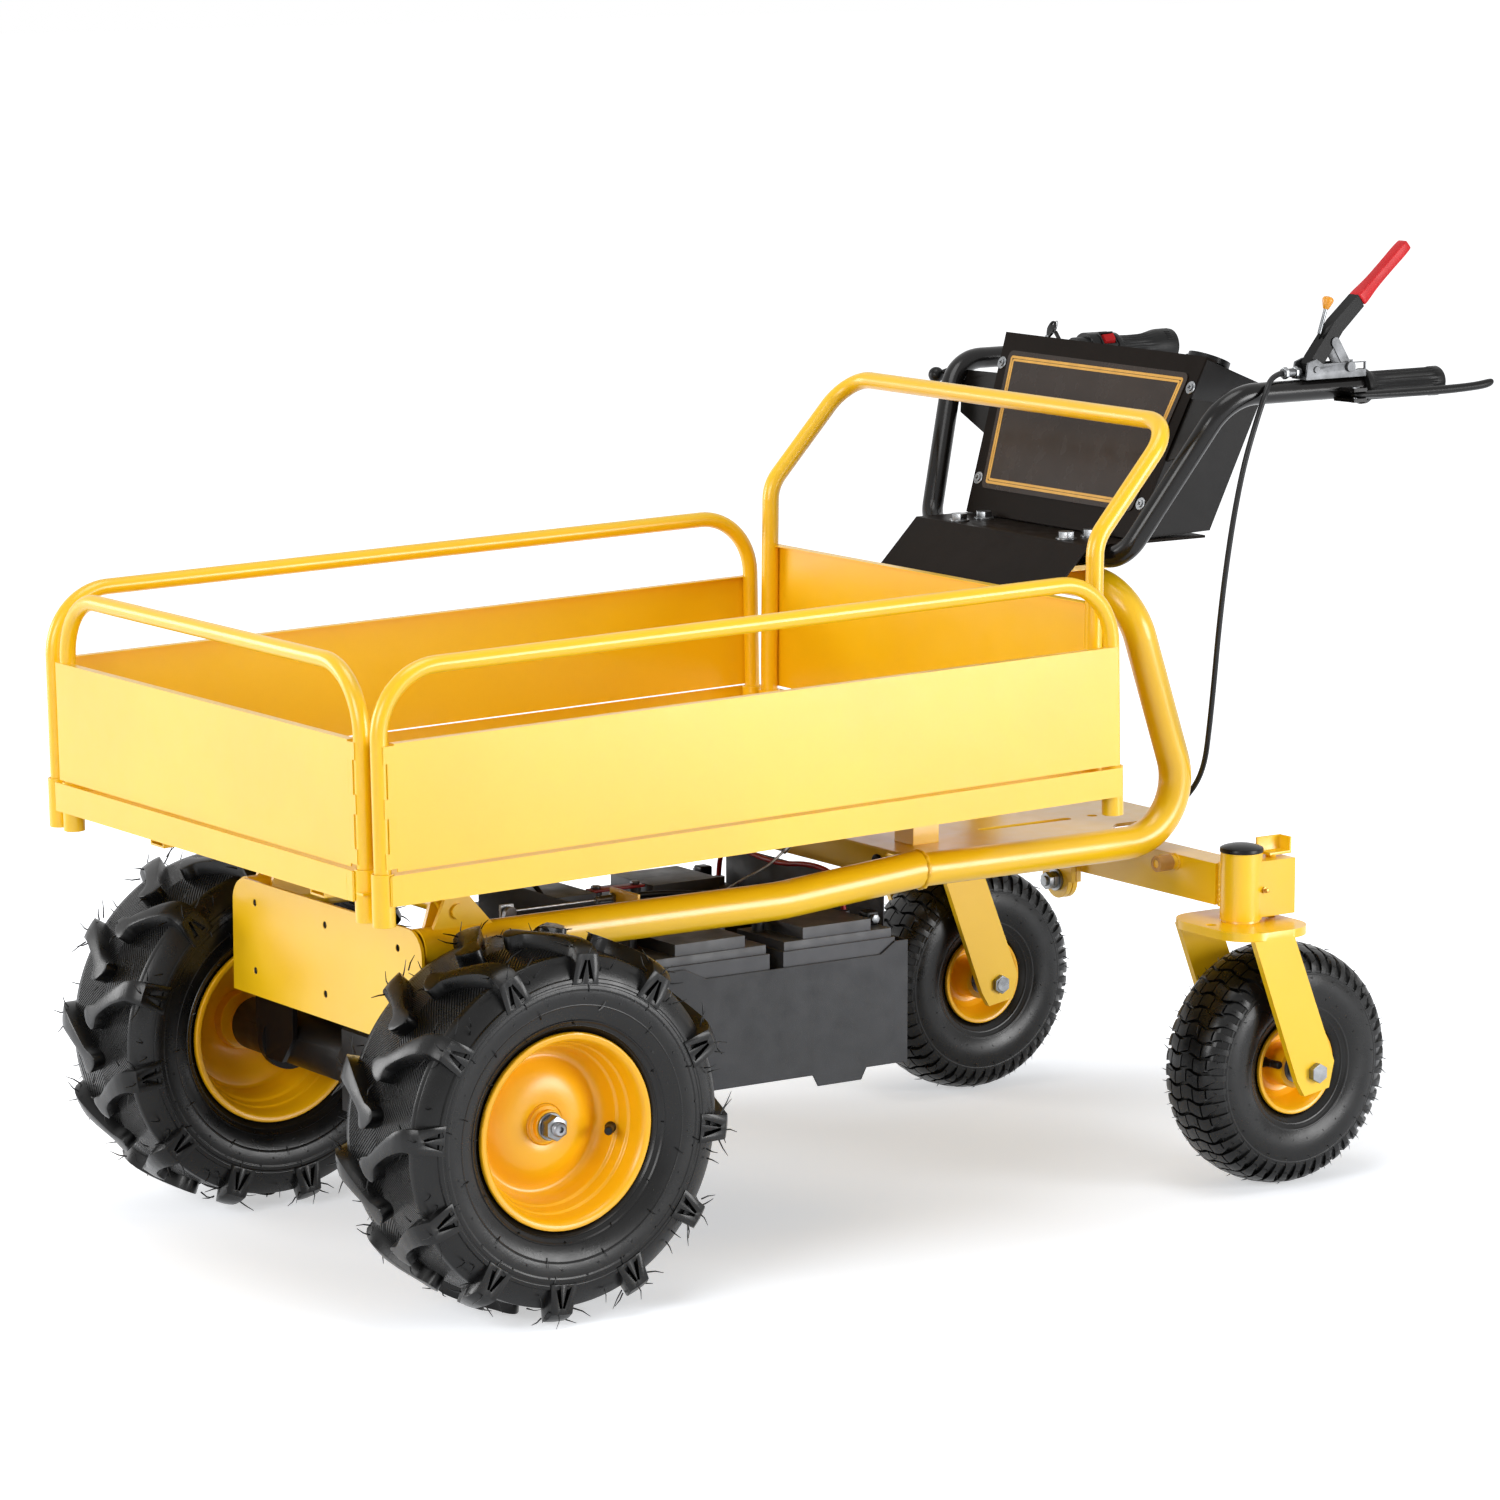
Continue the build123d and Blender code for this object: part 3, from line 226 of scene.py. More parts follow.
grain = {"cloudSpan": (0.32, 0.68), "cloudDetail": 5.0, "speckSpan": (0.62, 0.74), "speckDetail": 2.0,
         "roughSpan": (0.3, 0.7), "roughScale": 45.0, "roughDetail": 4.0, "bumpDetail": 3.0,
         "bumpDepth": 0.0006, "hatchStrength": 0.9, "hatchDepth": 0.0014}


def makeFinish(name, dark, light, rough, bump, cloud=6.0, speck=None, hatch=None, metal=0.0, coat=0.0,
               coatRough=0.1, gloss=0.5):
    finish = bpy.data.materials.new(name)
    finish.use_nodes = True
    tree = finish.node_tree
    link = tree.links.new
    shader = tree.nodes["Principled BSDF"]
    coords = addNode(tree, "TexCoord")

    def noise(scale, detail):
        texture = addNode(tree, "TexNoise", {"Scale": scale, "Detail": detail})
        link(coords.outputs["Object"], texture.inputs["Vector"])
        return texture.outputs["Fac"]

    def ramp(span, colours, source):
        node = addNode(tree, "ValToRGB")
        for element, position, colour in zip(node.color_ramp.elements, span, colours):
            element.position = position
            element.color = colour
        link(source, node.inputs["Fac"])
        return node.outputs["Color"]

    base = ramp(grain["cloudSpan"], (paint(*dark), paint(*light)), noise(cloud, grain["cloudDetail"]))
    if speck:  # fine flecks
        tone, share, scale = speck
        flecks = ramp(grain["speckSpan"], ((0, 0, 0, 1), (share, share, share, 1)),
                      noise(scale, grain["speckDetail"]))
        mix = addNode(tree, "Mix", data_type="RGBA")
        link(flecks, mix.inputs["Factor"])
        link(base, mix.inputs["A"])
        mix.inputs["B"].default_value = paint(*tone)
        base = mix.outputs["Result"]
    link(base, shader.inputs["Base Color"])
    low, high = grain["roughSpan"]
    span = addNode(tree, "MapRange", {"From Min": low, "From Max": high, "To Min": rough[0],
                                      "To Max": rough[1]})
    link(noise(grain["roughScale"], grain["roughDetail"]), span.inputs["Value"])
    link(span.outputs["Result"], shader.inputs["Roughness"])
    strength, scale = bump
    relief = addNode(tree, "Bump", {"Strength": strength, "Distance": grain["bumpDepth"]})
    link(noise(scale, grain["bumpDetail"]), relief.inputs["Height"])
    if hatch:  # slanting lines on the tread, along the piece's own map
        chart = addNode(tree, "UVMap", uv_map="treadHatch")
        parts = addNode(tree, "SeparateXYZ")
        link(chart.outputs["UV"], parts.inputs["Vector"])
        slant = addNode(tree, "Math")
        link(parts.outputs["X"], slant.inputs[0])
        link(parts.outputs["Y"], slant.inputs[1])
        turns = addNode(tree, "Math", {1: 2 * math.pi / hatch}, operation="MULTIPLY")
        link(slant.outputs[0], turns.inputs[0])
        ridge = addNode(tree, "Math", operation="SINE")
        link(turns.outputs[0], ridge.inputs[0])
        lines = addNode(tree, "Bump", {"Strength": grain["hatchStrength"], "Distance": grain["hatchDepth"]})
        link(ridge.outputs[0], lines.inputs["Height"])
        link(lines.outputs["Normal"], relief.inputs["Normal"])
    link(relief.outputs["Normal"], shader.inputs["Normal"])
    for key, value in (("Metallic", metal), ("Coat Weight", coat), ("Coat Roughness", coatRough),
                       ("Specular IOR Level", gloss)):
        shader.inputs[key].default_value = value
    return finish


looks = {
    "yellowCoat": dict(dark=(240, 189, 6), light=(246, 198, 13), rough=(0.28, 0.36), bump=(0.07, 650),
                       speck=((251, 210, 50), 0.2, 900), cloud=5, coat=0.35, coatRough=0.22),
    # the yellow paint made deeper and more orange for the rims and hub bosses: painted shade for the less lit
    # wheels
    "rimCoat": dict(dark=(239, 174, 4), light=(243, 181, 7), rough=(0.3, 0.35), bump=(0.02, 400), cloud=9,
                    coat=0.25, coatRough=0.24, gloss=0.4),
    "glossBlack": dict(dark=(11, 10, 10), light=(17, 15, 14), rough=(0.16, 0.26), bump=(0.03, 300),
                       gloss=0.3),
    "leverBlack": dict(dark=(10, 10, 10), light=(15, 15, 15), rough=(0.2, 0.28), bump=(0.02, 300),
                       gloss=0.12),
    "satinBlack": dict(dark=(14, 12, 11), light=(20, 17, 15), rough=(0.3, 0.42), bump=(0.12, 900),
                       speck=((46, 40, 35), 0.35, 1400), gloss=0.2),
    "brownBlack": dict(dark=(18, 13, 9), light=(24, 17, 12), rough=(0.3, 0.42), bump=(0.08, 900), gloss=0.05),
    "greyCoat": dict(dark=(42, 43, 45), light=(52, 53, 56), rough=(0.46, 0.6), bump=(0.3, 1100),
                     speck=((82, 82, 84), 0.35, 1500), gloss=0.3),
    "treadRubber": dict(dark=(8, 8, 8), light=(14, 14, 14), rough=(0.24, 0.34), bump=(0.14, 420),
                        speck=((40, 39, 39), 0.3, 650), cloud=14, gloss=0.3, hatch=0.0046),
    "gripRubber": dict(dark=(14, 14, 14), light=(22, 22, 22), rough=(0.34, 0.48), bump=(0.2, 1200), cloud=30,
                       gloss=0.18),
    "zincPlate": dict(dark=(110, 112, 114), light=(148, 150, 152), rough=(0.26, 0.4), bump=(0.05, 800),
                      speck=((92, 94, 94), 0.3, 420), cloud=60, metal=1.0),
    "dullZinc": dict(dark=(74, 75, 76), light=(104, 105, 107), rough=(0.4, 0.54), bump=(0.04, 500),
                     speck=((60, 61, 62), 0.3, 300), cloud=60, metal=1.0),
    "bearingSteel": dict(dark=(92, 93, 96), light=(136, 137, 140), rough=(0.24, 0.4), bump=(0.05, 900),
                         cloud=80, metal=1.0),
    "castAlloy": dict(dark=(44, 44, 46), light=(64, 64, 66), rough=(0.5, 0.7), bump=(0.4, 500),
                      speck=((96, 96, 98), 0.3, 700), cloud=20, metal=0.4),
    "batteryCase": dict(dark=(54, 55, 58), light=(66, 67, 71), rough=(0.4, 0.54), bump=(0.2, 900), cloud=12,
                        gloss=0.35),
    "leadJacket": dict(dark=(150, 20, 18), light=(178, 28, 24), rough=(0.35, 0.5), bump=(0.1, 800), cloud=40),
    "cableJacket": dict(dark=(13, 13, 14), light=(22, 22, 23), rough=(0.32, 0.46), bump=(0.12, 900), cloud=60,
                        gloss=0.3),
    "wireRope": dict(dark=(150, 152, 154), light=(200, 202, 204), rough=(0.28, 0.45), bump=(0.2, 1500),
                     cloud=200, metal=1.0),
    "blackPlastic": dict(dark=(12, 12, 12), light=(19, 19, 19), rough=(0.26, 0.38), bump=(0.12, 1300),
                         cloud=40, gloss=0.2),
    "redPlastic": dict(dark=(186, 20, 26), light=(200, 27, 33), rough=(0.36, 0.46), bump=(0.02, 500),
                       cloud=40, gloss=0.22),
    "switchRed": dict(dark=(150, 20, 22), light=(168, 27, 28), rough=(0.4, 0.5), bump=(0.02, 500), cloud=60,
                      gloss=0.15),
    "orangePlastic": dict(dark=(214, 138, 12), light=(228, 154, 22), rough=(0.25, 0.38), bump=(0.08, 900),
                          cloud=60, coat=0.2),
    "labelPlastic": dict(dark=(44, 36, 31), light=(53, 44, 38), rough=(0.22, 0.3), bump=(0.05, 1000), cloud=8,
                         gloss=0.2),
    "amberInk": dict(dark=(200, 148, 50), light=(216, 163, 64), rough=(0.35, 0.5), bump=(0.05, 1000),
                     cloud=60),
    "brassPlate": dict(dark=(176, 132, 62), light=(206, 164, 92), rough=(0.24, 0.4), bump=(0.06, 800),
                       cloud=60, metal=1.0),
    "tanNylon": dict(dark=(176, 128, 62), light=(200, 152, 84), rough=(0.4, 0.55), bump=(0.15, 700),
                     cloud=60),
    "weldBead": dict(dark=(230, 176, 5), light=(242, 192, 12), rough=(0.3, 0.45), bump=(0.5, 320), cloud=90,
                     coat=0.15),
}
finishes = {name: makeFinish(name, **look) for name, look in looks.items()}
print("finishes made:", len(finishes))

nodeFinish = {
    "yellowCoat": ("bed_pan", "bed_rails", "bed_sockets", "caster_fork_left", "caster_fork_right",
                   "deck_plate", "front_gate", "front_plate", "left_gate", "right_gate", "rear_beam",
                   "rear_guard", "rear_hoop", "side_tubes", "lock_pin_left", "lock_pin_right", "hinge_rod"),
    "rimCoat": ("drive_rim_left", "drive_rim_right", "caster_rim_left", "caster_rim_right"),
    "glossBlack": ("handlebar",),
    "leverBlack": ("parking_lever",),
    "satinBlack": ("console_shell", "transaxle"),
    "brownBlack": ("console_face", "mount_plate"),
    "greyCoat": ("battery_tray",),
    "treadRubber": ("drive_tyre_left", "drive_tyre_right", "caster_tyre_left", "caster_tyre_right"),
    "zincPlate": ("frame_bolts", "caster_axle_left", "caster_axle_right", "drive_hub_left",
                  "drive_hub_right"),
    "dullZinc": ("parking_base", "toggle_link"),
    "bearingSteel": ("caster_bearings_left", "caster_bearings_right", "brake_arm"),
    "castAlloy": ("motor_controller",),
    "batteryCase": ("batteries",),
    "leadJacket": ("battery_leads",),
    "cableJacket": ("brake_cable",),
    "wireRope": ("tether_wire", "brake_wire"),
    "blackPlastic": ("charge_cap", "head_caps", "ignition_key", "throttle_housing", "brake_lever",
                     "ball_lever"),
    "gripRubber": ("left_grip", "throttle_grip"),
    "redPlastic": ("parking_grip",),
    "switchRed": ("rocker_switch",),
    "orangePlastic": ("release_knob",),
    "labelPlastic": ("label_panel",),
}
finishOf = {nodeName: finishName for finishName, names in nodeFinish.items() for nodeName in names}
for nodeName, finishName in finishOf.items():
    wear(nodes[nodeName], finishes[finishName])
print("finishes on", len(finishOf), "nodes")


# cords

def routeSpline(name, route):
    piece, spline = newCurve(name, "NURBS", route)
    spline.order_u = 3
    spline.use_endpoint_u = True
    spline.resolution_u = 10
    return piece


def routePoints(piece):
    bpy.context.view_layer.update()
    line = bpy.data.meshes.new_from_object(piece.evaluated_get(bpy.context.evaluated_depsgraph_get()))
    points = [vertex.co.copy() for vertex in line.vertices]
    bpy.data.meshes.remove(line)
    return points


def roundTube(piece, diameter, rounds=5):
    piece.data.bevel_depth = diameter / 2
    piece.data.bevel_resolution = rounds
    piece.data.use_fill_caps = True
    return piece


brakeCable = {
    "diameter": 0.0065, "length": 1.322,
    "route": [
        (0.4803, -0.258, 0.926), (0.460, -0.266, 0.9245), (0.442, -0.278, 0.908), (0.427, -0.280, 0.876),
        (0.413, -0.277, 0.830), (0.405, -0.270, 0.772), (0.400, -0.262, 0.705), (0.397, -0.255, 0.637),
        (0.400, -0.244, 0.573), (0.408, -0.227, 0.519), (0.418, -0.208, 0.478), (0.425, -0.184, 0.448),
        (0.422, -0.160, 0.424), (0.407, -0.150, 0.403), (0.379, -0.148, 0.389), (0.330, -0.149, 0.385),
        (0.260, -0.148, 0.387), (0.178, -0.149, 0.384), (0.097, -0.148, 0.386), (0.020, -0.149, 0.380),
        (-0.052, -0.151, 0.371), (-0.122, -0.151, 0.373), (-0.187, -0.148, 0.380), (-0.243, -0.133, 0.386),
        (-0.284, -0.117, 0.3876), (-0.312, -0.113, 0.387),
    ],
}
tether = {
    "diameter": 0.003, "length": 0.42,
    "route": [
        (-0.108, -0.1563, 0.462), (-0.112, -0.150, 0.443), (-0.123, -0.142, 0.422), (-0.140, -0.130, 0.403),
        (-0.158, -0.111, 0.389), (-0.172, -0.088, 0.371), (-0.184, -0.069, 0.340), (-0.195, -0.056, 0.305),
        (-0.210, -0.048, 0.275), (-0.236, -0.043, 0.262), (-0.262, -0.041, 0.274), (-0.278, -0.040, 0.303),
        (-0.292, -0.041, 0.334), (-0.311, -0.040, 0.354), (-0.3344, -0.039, 0.362),
    ],
}
leads = {
    "diameter": 0.006, "crossLength": 0.302, "feedLength": 0.202,
    "cross": [
        (-0.0305, -0.124, 0.343), (-0.0305, -0.122, 0.366), (-0.032, -0.102, 0.383), (-0.035, -0.062, 0.386),
        (-0.037, -0.012, 0.378), (-0.036, 0.038, 0.379), (-0.034, 0.082, 0.385), (-0.0315, 0.112, 0.379),
        (-0.0305, 0.123, 0.360), (-0.0305, 0.124, 0.343),
    ],
    "feed": [
        (-0.3155, 0.124, 0.343), (-0.315, 0.121, 0.362), (-0.311, 0.104, 0.375), (-0.304, 0.084, 0.366),
        (-0.298, 0.072, 0.345), (-0.292, 0.066, 0.315), (-0.289, 0.064, 0.285), (-0.288, 0.064, 0.2304),
    ],
}

cableCord = roundTube(routeSpline("brakeCable", brakeCable["route"]), brakeCable["diameter"])
settle(cableCord, "chassis", "cableJacket", "brake_cable")

tetherLine = routeSpline("tetherLine", tether["route"])
tetherPath = routePoints(tetherLine)
pick(roundTube(tetherLine, tether["diameter"], 3))
bpy.ops.object.convert(target="MESH")
tetherCord = bpy.context.object
tetherCord.name = "tetherWire"
smooth(tetherCord, 60)
wear(tetherCord, finishes["wireRope"])
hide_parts("tether_wire")
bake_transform(tetherCord)

crossLead = roundTube(routeSpline("crossLead", leads["cross"]), leads["diameter"])
settle(crossLead, "chassis", "leadJacket", "battery_leads")
for sideName, sideWord, side in sides:
    route = [(x, side * y, z) for x, y, z in leads["feed"]]
    feedLead = roundTube(routeSpline("feedLead" + sideName, route), leads["diameter"])
    settle(feedLead, "chassis", "leadJacket" if side < 0 else "cableJacket", slot="lead_jacket")
print("cords laid")


# wheels

def arcPoints(start, middle, end, count):
    (ax, ay), (bx, by), (cx, cy) = start, middle, end
    aa, bb, cc = (x * x + y * y for x, y in (start, middle, end))
    d = 2 * (ax * (by - cy) + bx * (cy - ay) + cx * (ay - by))
    ux = (aa * (by - cy) + bb * (cy - ay) + cc * (ay - by)) / d
    uy = (aa * (cx - bx) + bb * (ax - cx) + cc * (bx - ax)) / d
    first = math.atan2(ay - uy, ax - ux)
    last = math.atan2(cy - uy, cx - ux)
    radius = math.hypot(ax - ux, ay - uy)
    turn = (last - first + math.pi) % (2 * math.pi) - math.pi
    angles = [first + turn * i / count for i in range(count + 1)]
    return [(ux + radius * math.cos(a), uy + radius * math.sin(a)) for a in angles]


def spunRing(name, profile, steps):  # a closed profile of (across, radius) turned about Y
    ring = newMesh("circle", name, vertices=len(profile), radius=0.1)
    for vertex, (across, radius) in zip(ring.data.vertices, profile):
        vertex.co = (0.0, across * mm, radius * mm)
    editAll(ring)
    bpy.ops.mesh.spin(steps=steps, angle=2 * math.pi, center=(0, 0, 0), axis=(0, 1, 0))
    objectMode()
    mendMesh(ring)
    return ring


def hexNut(name, flats, start, end, chamfer=1.2):  # about Y
    nut = newMesh("cylinder", name, vertices=6, radius=flats / math.sqrt(3) * mm, depth=(end - start) * mm,
                  rotation=(math.pi / 2, 0, 0))
    bpy.ops.object.transform_apply(location=True, rotation=True, scale=True)
    placeMesh(nut, Matrix.Translation((0, (start + end) / 2 * mm, 0)))
    bevelEdges(nut, chamfer, 2, 50)
    smooth(nut, 32)
    return nut


def raiseRings(points, rings):  # raised lines round a sidewall
    raised = []
    for across, radius in points:
        lift = sum(height for low, high, height in rings if low <= radius <= high)
        raised.append((across + math.copysign(lift, across), radius))
    return raised


def smoothStep(low, high, value):
    t = min(1.0, max(0.0, (value - low) / (high - low)))
    return t * t * (3 - 2 * t)


def betweenStops(stops, value):
    for (a, p), (b, q) in zip(stops, stops[1:]):
        if value <= b:
            t = min(1.0, max(0.0, (value - a) / (b - a)))
            return p + (q - p) * t
    return stops[-1][1]


def linePoint(points, share):  # a smooth line through the points
    last = len(points) - 1
    place = min(share * last, last - 1e-6)
    i = int(place)
    t = place - i
    p0, p1, p2, p3 = (Vector(points[min(max(i + k, 0), last)]) for k in (-1, 0, 1, 2))
    return 0.5 * (2 * p1 + (p2 - p0) * t + (2 * p0 - 5 * p1 + 4 * p2 - p3) * t * t
                  + (3 * p1 - p0 - 3 * p2 + p3) * t ** 3)


def wrapRound(piece, pitchRadius):  # flat tread to the wheel's round
    for vertex in piece.data.vertices:
        angle = vertex.co.x / (pitchRadius * mm)
        radius = vertex.co.z
        vertex.co = (radius * math.sin(angle), vertex.co.y, radius * math.cos(angle))
    piece.data.update()


def hatchMap(piece, pitchRadius, half, low):  # tread lines follow this map, and are off where it is 0
    mesh = piece.data
    layer = mesh.uv_layers.new(name="treadHatch")
    for face in mesh.polygons:
        places = [mesh.vertices[mesh.loops[loop].vertex_index].co for loop in face.loop_indices]
        angles = [math.atan2(place.x, place.z) for place in places]
        on = abs(face.center.y) < half * mm and math.hypot(face.center.x, face.center.z) > low * mm
        for loop, place, angle in zip(face.loop_indices, places, angles):
            if angle - angles[0] > math.pi:
                angle -= 2 * math.pi
            if angle - angles[0] < -math.pi:
                angle += 2 * math.pi
            layer.data[loop].uv = (angle * pitchRadius * mm, 1.0 + abs(place.y)) if on else (0.0, 0.0)


def tyreProfile(spec):  # outer wall, crown, mirrored wall, then the inside
    low, middle, high = spec["wall"]
    outer = raiseRings(arcPoints(low, middle, high, spec["wallSteps"]), spec["rings"])
    crown = arcPoints(high, (0, spec["crown"]), (-high[0], high[1]), spec["crownSteps"])[1:-1]
    mirrorOuter = [(-across, radius) for across, radius in reversed(outer)]
    across, radius = spec["bead"]
    inner = [(-a, r) for a, r in spec["inner"]] + [(0, spec["innerCrown"])] + spec["inner"][::-1]
    return [(across, radius)] + outer + crown + mirrorOuter + [(-across, radius)] + inner


def reliefBlock(name, cuts, drop, topPlace, footPlace):  # a bent grid pushed down to its foot
    block = newMesh("grid", name, x_subdivisions=cuts[0], y_subdivisions=cuts[1], size=2)
    grid = {}
    for vertex in block.data.vertices:
        u, v = vertex.co.x, vertex.co.y
        vertex.co = [value * mm for value in topPlace(u, v)]
        grid[(round(vertex.co.x, 7), round(vertex.co.y, 7))] = (u, v)
    editAll(block)
    bpy.ops.mesh.extrude_region_move(TRANSFORM_OT_translate={"value": (0, 0, -drop)})
    objectMode()
    for vertex in block.data.vertices:
        if vertex.select:
            u, v = grid[(round(vertex.co.x, 7), round(vertex.co.y, 7))]
            vertex.co = [value * mm for value in footPlace(u, v)]
    mendMesh(block)
    return block


driveTyre = {
    "count": 12, "pitchRadius": 200.0, "steps": 144,
    "wall": ((61.3, 106.2), (80.4, 150), (66, 186)), "wallSteps": 110, "crown": 190, "crownSteps": 20,
    "bead": (59.5, 99.4), "inner": [(50, 97.5), (66, 130), (68, 160), (56, 177)], "innerCrown": 181,
    "hatchHalf": 62, "hatchLow": 183, "reach": 82.3, "inside": -16.0, "bevel": 1.5,
    "spine": [(-31, -4), (-25, 1), (-17, 9), (-8, 21), (2, 36), (10, 50), (16, 63), (18, 74), (18, 82.3)],
    "widths": [(0.0, 11), (0.03, 21), (0.07, 27), (0.13, 30), (0.19, 25), (0.27, 15), (0.36, 13.5),
               (0.55, 17), (0.75, 22), (0.9, 26), (1.0, 27)],
    "footGrow": [(0.0, 1.0), (0.2, 1.12), (0.5, 1.35), (0.8, 1.45), (1.0, 1.5)],
    "tops": [(0, 204.8), (40, 204.6), (56, 203.5), (68, 200.5), (76, 196), (82.3, 190)],
    "feet": [(0, 183), (50, 182), (62, 175), (72, 166), (82.3, 158)],
    "slot": {"wide": 7.0, "tall": 24.0, "deep": 9.0, "lean": 0.30, "spread": 5.2, "along": 18,
             "middle": 172.0, "taper": 0.45},
    "rings": [(111, 112.2, 0.8), (117, 119, 1.1), (135, 136.2, 0.7), (152, 157, 0.8), (157, 160, 1.7),
              (160, 164, 2.5)],
    "dots": {"count": 60, "rows": ((126, 74.4), (143, 79.4), (152, 80.0)), "thick": 1.3},
    "arrow": {"count": 3, "start": 0.9, "radius": 128.0, "reach": 12.0, "across": 4.0, "neck": 0.3,
              "level": 74.2, "thick": 1.6},
    "hairs": {"thick": 0.95, "skip": 0.12, "lean": 3, "shift": 5, "long": 1.7, "rise": 2.2, "reach": 81.6,
              "top": 204.9},
    "hairPlaces": [
        ((-38, -3, 201), (-42, -4, 204), (-46, -5, 206)), ((-20, -8, 201), (-19, -13, 203), (-19, -16, 206)),
        ((31, 60, 198), (35, 61, 200), (40, 62, 203)), ((5, 66, 196), (1, 67, 198), (-4, 68, 201)),
        ((33, 76, 186), (38, 78, 189), (42, 79, 194)), ((3, 76, 186), (-2, 78, 188), (-6, 79, 193)),
        ((18, 80, 188), (18, 81.6, 194), (20, 81.8, 203)), ((46, 76.5, 172), (46, 80, 175), (45, 81.6, 180)),
        ((60, 75, 176), (61, 78, 179), (63, 80, 184)), ((26, 81.2, 150), (27, 81.9, 153), (26, 82.0, 157)),
        ((50, 78, 131), (51, 79.6, 133), (51, 80.4, 137)), ((8, 70, 115), (8, 72.6, 114), (9, 73.6, 110)),
    ],
}


def slotCutter(spec):  # two leaning prongs
    prongs = []
    for lean in (-1, 1):
        prong = newMesh("cube", "prong", size=1)
        placeMesh(prong, Matrix.Diagonal((spec["wide"] * mm, spec["deep"] * 2 * mm, spec["tall"] * mm, 1)))
        for vertex in prong.data.vertices:
            if vertex.co.z > 0:
                vertex.co.x *= spec["taper"]
        placeMesh(prong, Matrix.Translation((lean * spec["spread"] * mm, 0, 0))
                  @ Matrix.Rotation(-lean * spec["lean"], 4, "Y"))
        prongs.append(prong)
    return prongs


def treadLug(spec):
    def shape(u, v, grow=1.0):
        spot = linePoint(spec["spine"], u)
        ahead = linePoint(spec["spine"], min(u + 0.01, 1.0)) - linePoint(spec["spine"], max(u - 0.01, 0.0))
        normal = Vector((-ahead.y, ahead.x)).normalized()
        if u > 0.8:
            normal = normal.lerp(Vector((-1, 0)), smoothStep(0.8, 0.96, u)).normalized()
        spot = spot + normal * (v * grow * betweenStops(spec["widths"], u) / 2)
        return spot.x, max(min(spot.y, spec["reach"]), spec["inside"])

    def top(x, v):
        s, y = shape((x + 1) / 2, v)
        return s, y, betweenStops(spec["tops"], abs(y)) - 0.5 * v * v

    def foot(x, v):
        u = (x + 1) / 2
        s, y = shape(u, v, betweenStops(spec["footGrow"], u))
        return s, y, betweenStops(spec["feet"], abs(y))

    lug = reliefBlock("driveLug", (26, 4), 0.02, top, foot)
    cut = spec["slot"]
    for prong in slotCutter(cut):
        placeMesh(prong, Matrix.Translation((cut["along"] * mm, spec["reach"] * mm, cut["middle"] * mm)))
        subtract(lug, prong)
    bevelEdges(lug, spec["bevel"], 2, 48)
    wrapRound(lug, spec["pitchRadius"])
    mendMesh(lug)
    return lug


def rubberHair(start, middle, tip, radius):  # a bent moulding hair
    hair = newMesh("circle", "hair", vertices=4, radius=radius * mm, fill_type="NGON")
    start, middle, tip = (Vector(place) * mm for place in (start, middle, tip))
    turn = Vector((0, 0, 1)).rotation_difference(middle - start).to_matrix().to_4x4()
    placeMesh(hair, Matrix.Translation(start) @ turn)
    editAll(hair)
    for a, b, shrink in ((start, middle, 0.8), (middle, tip, 0.45)):
        bpy.ops.mesh.extrude_region_move(TRANSFORM_OT_translate={"value": b - a})
        bpy.ops.transform.resize(value=(shrink,) * 3, center_override=b)
    objectMode()
    mendMesh(hair, 0.000001)
    return hair


def sideMark(points, thick):  # a raised mark on a sidewall, from (along, across, radius) points
    mark = newMesh("circle", "mark", vertices=len(points), radius=0.01, fill_type="NGON")
    for vertex, place in zip(mark.data.vertices, points):
        vertex.co = Vector(place) * mm
    editAll(mark)
    bpy.ops.mesh.extrude_region_move(TRANSFORM_OT_translate={"value": (0, thick * mm, 0)})
    objectMode()
    mendMesh(mark, 0.000001)
    return mark


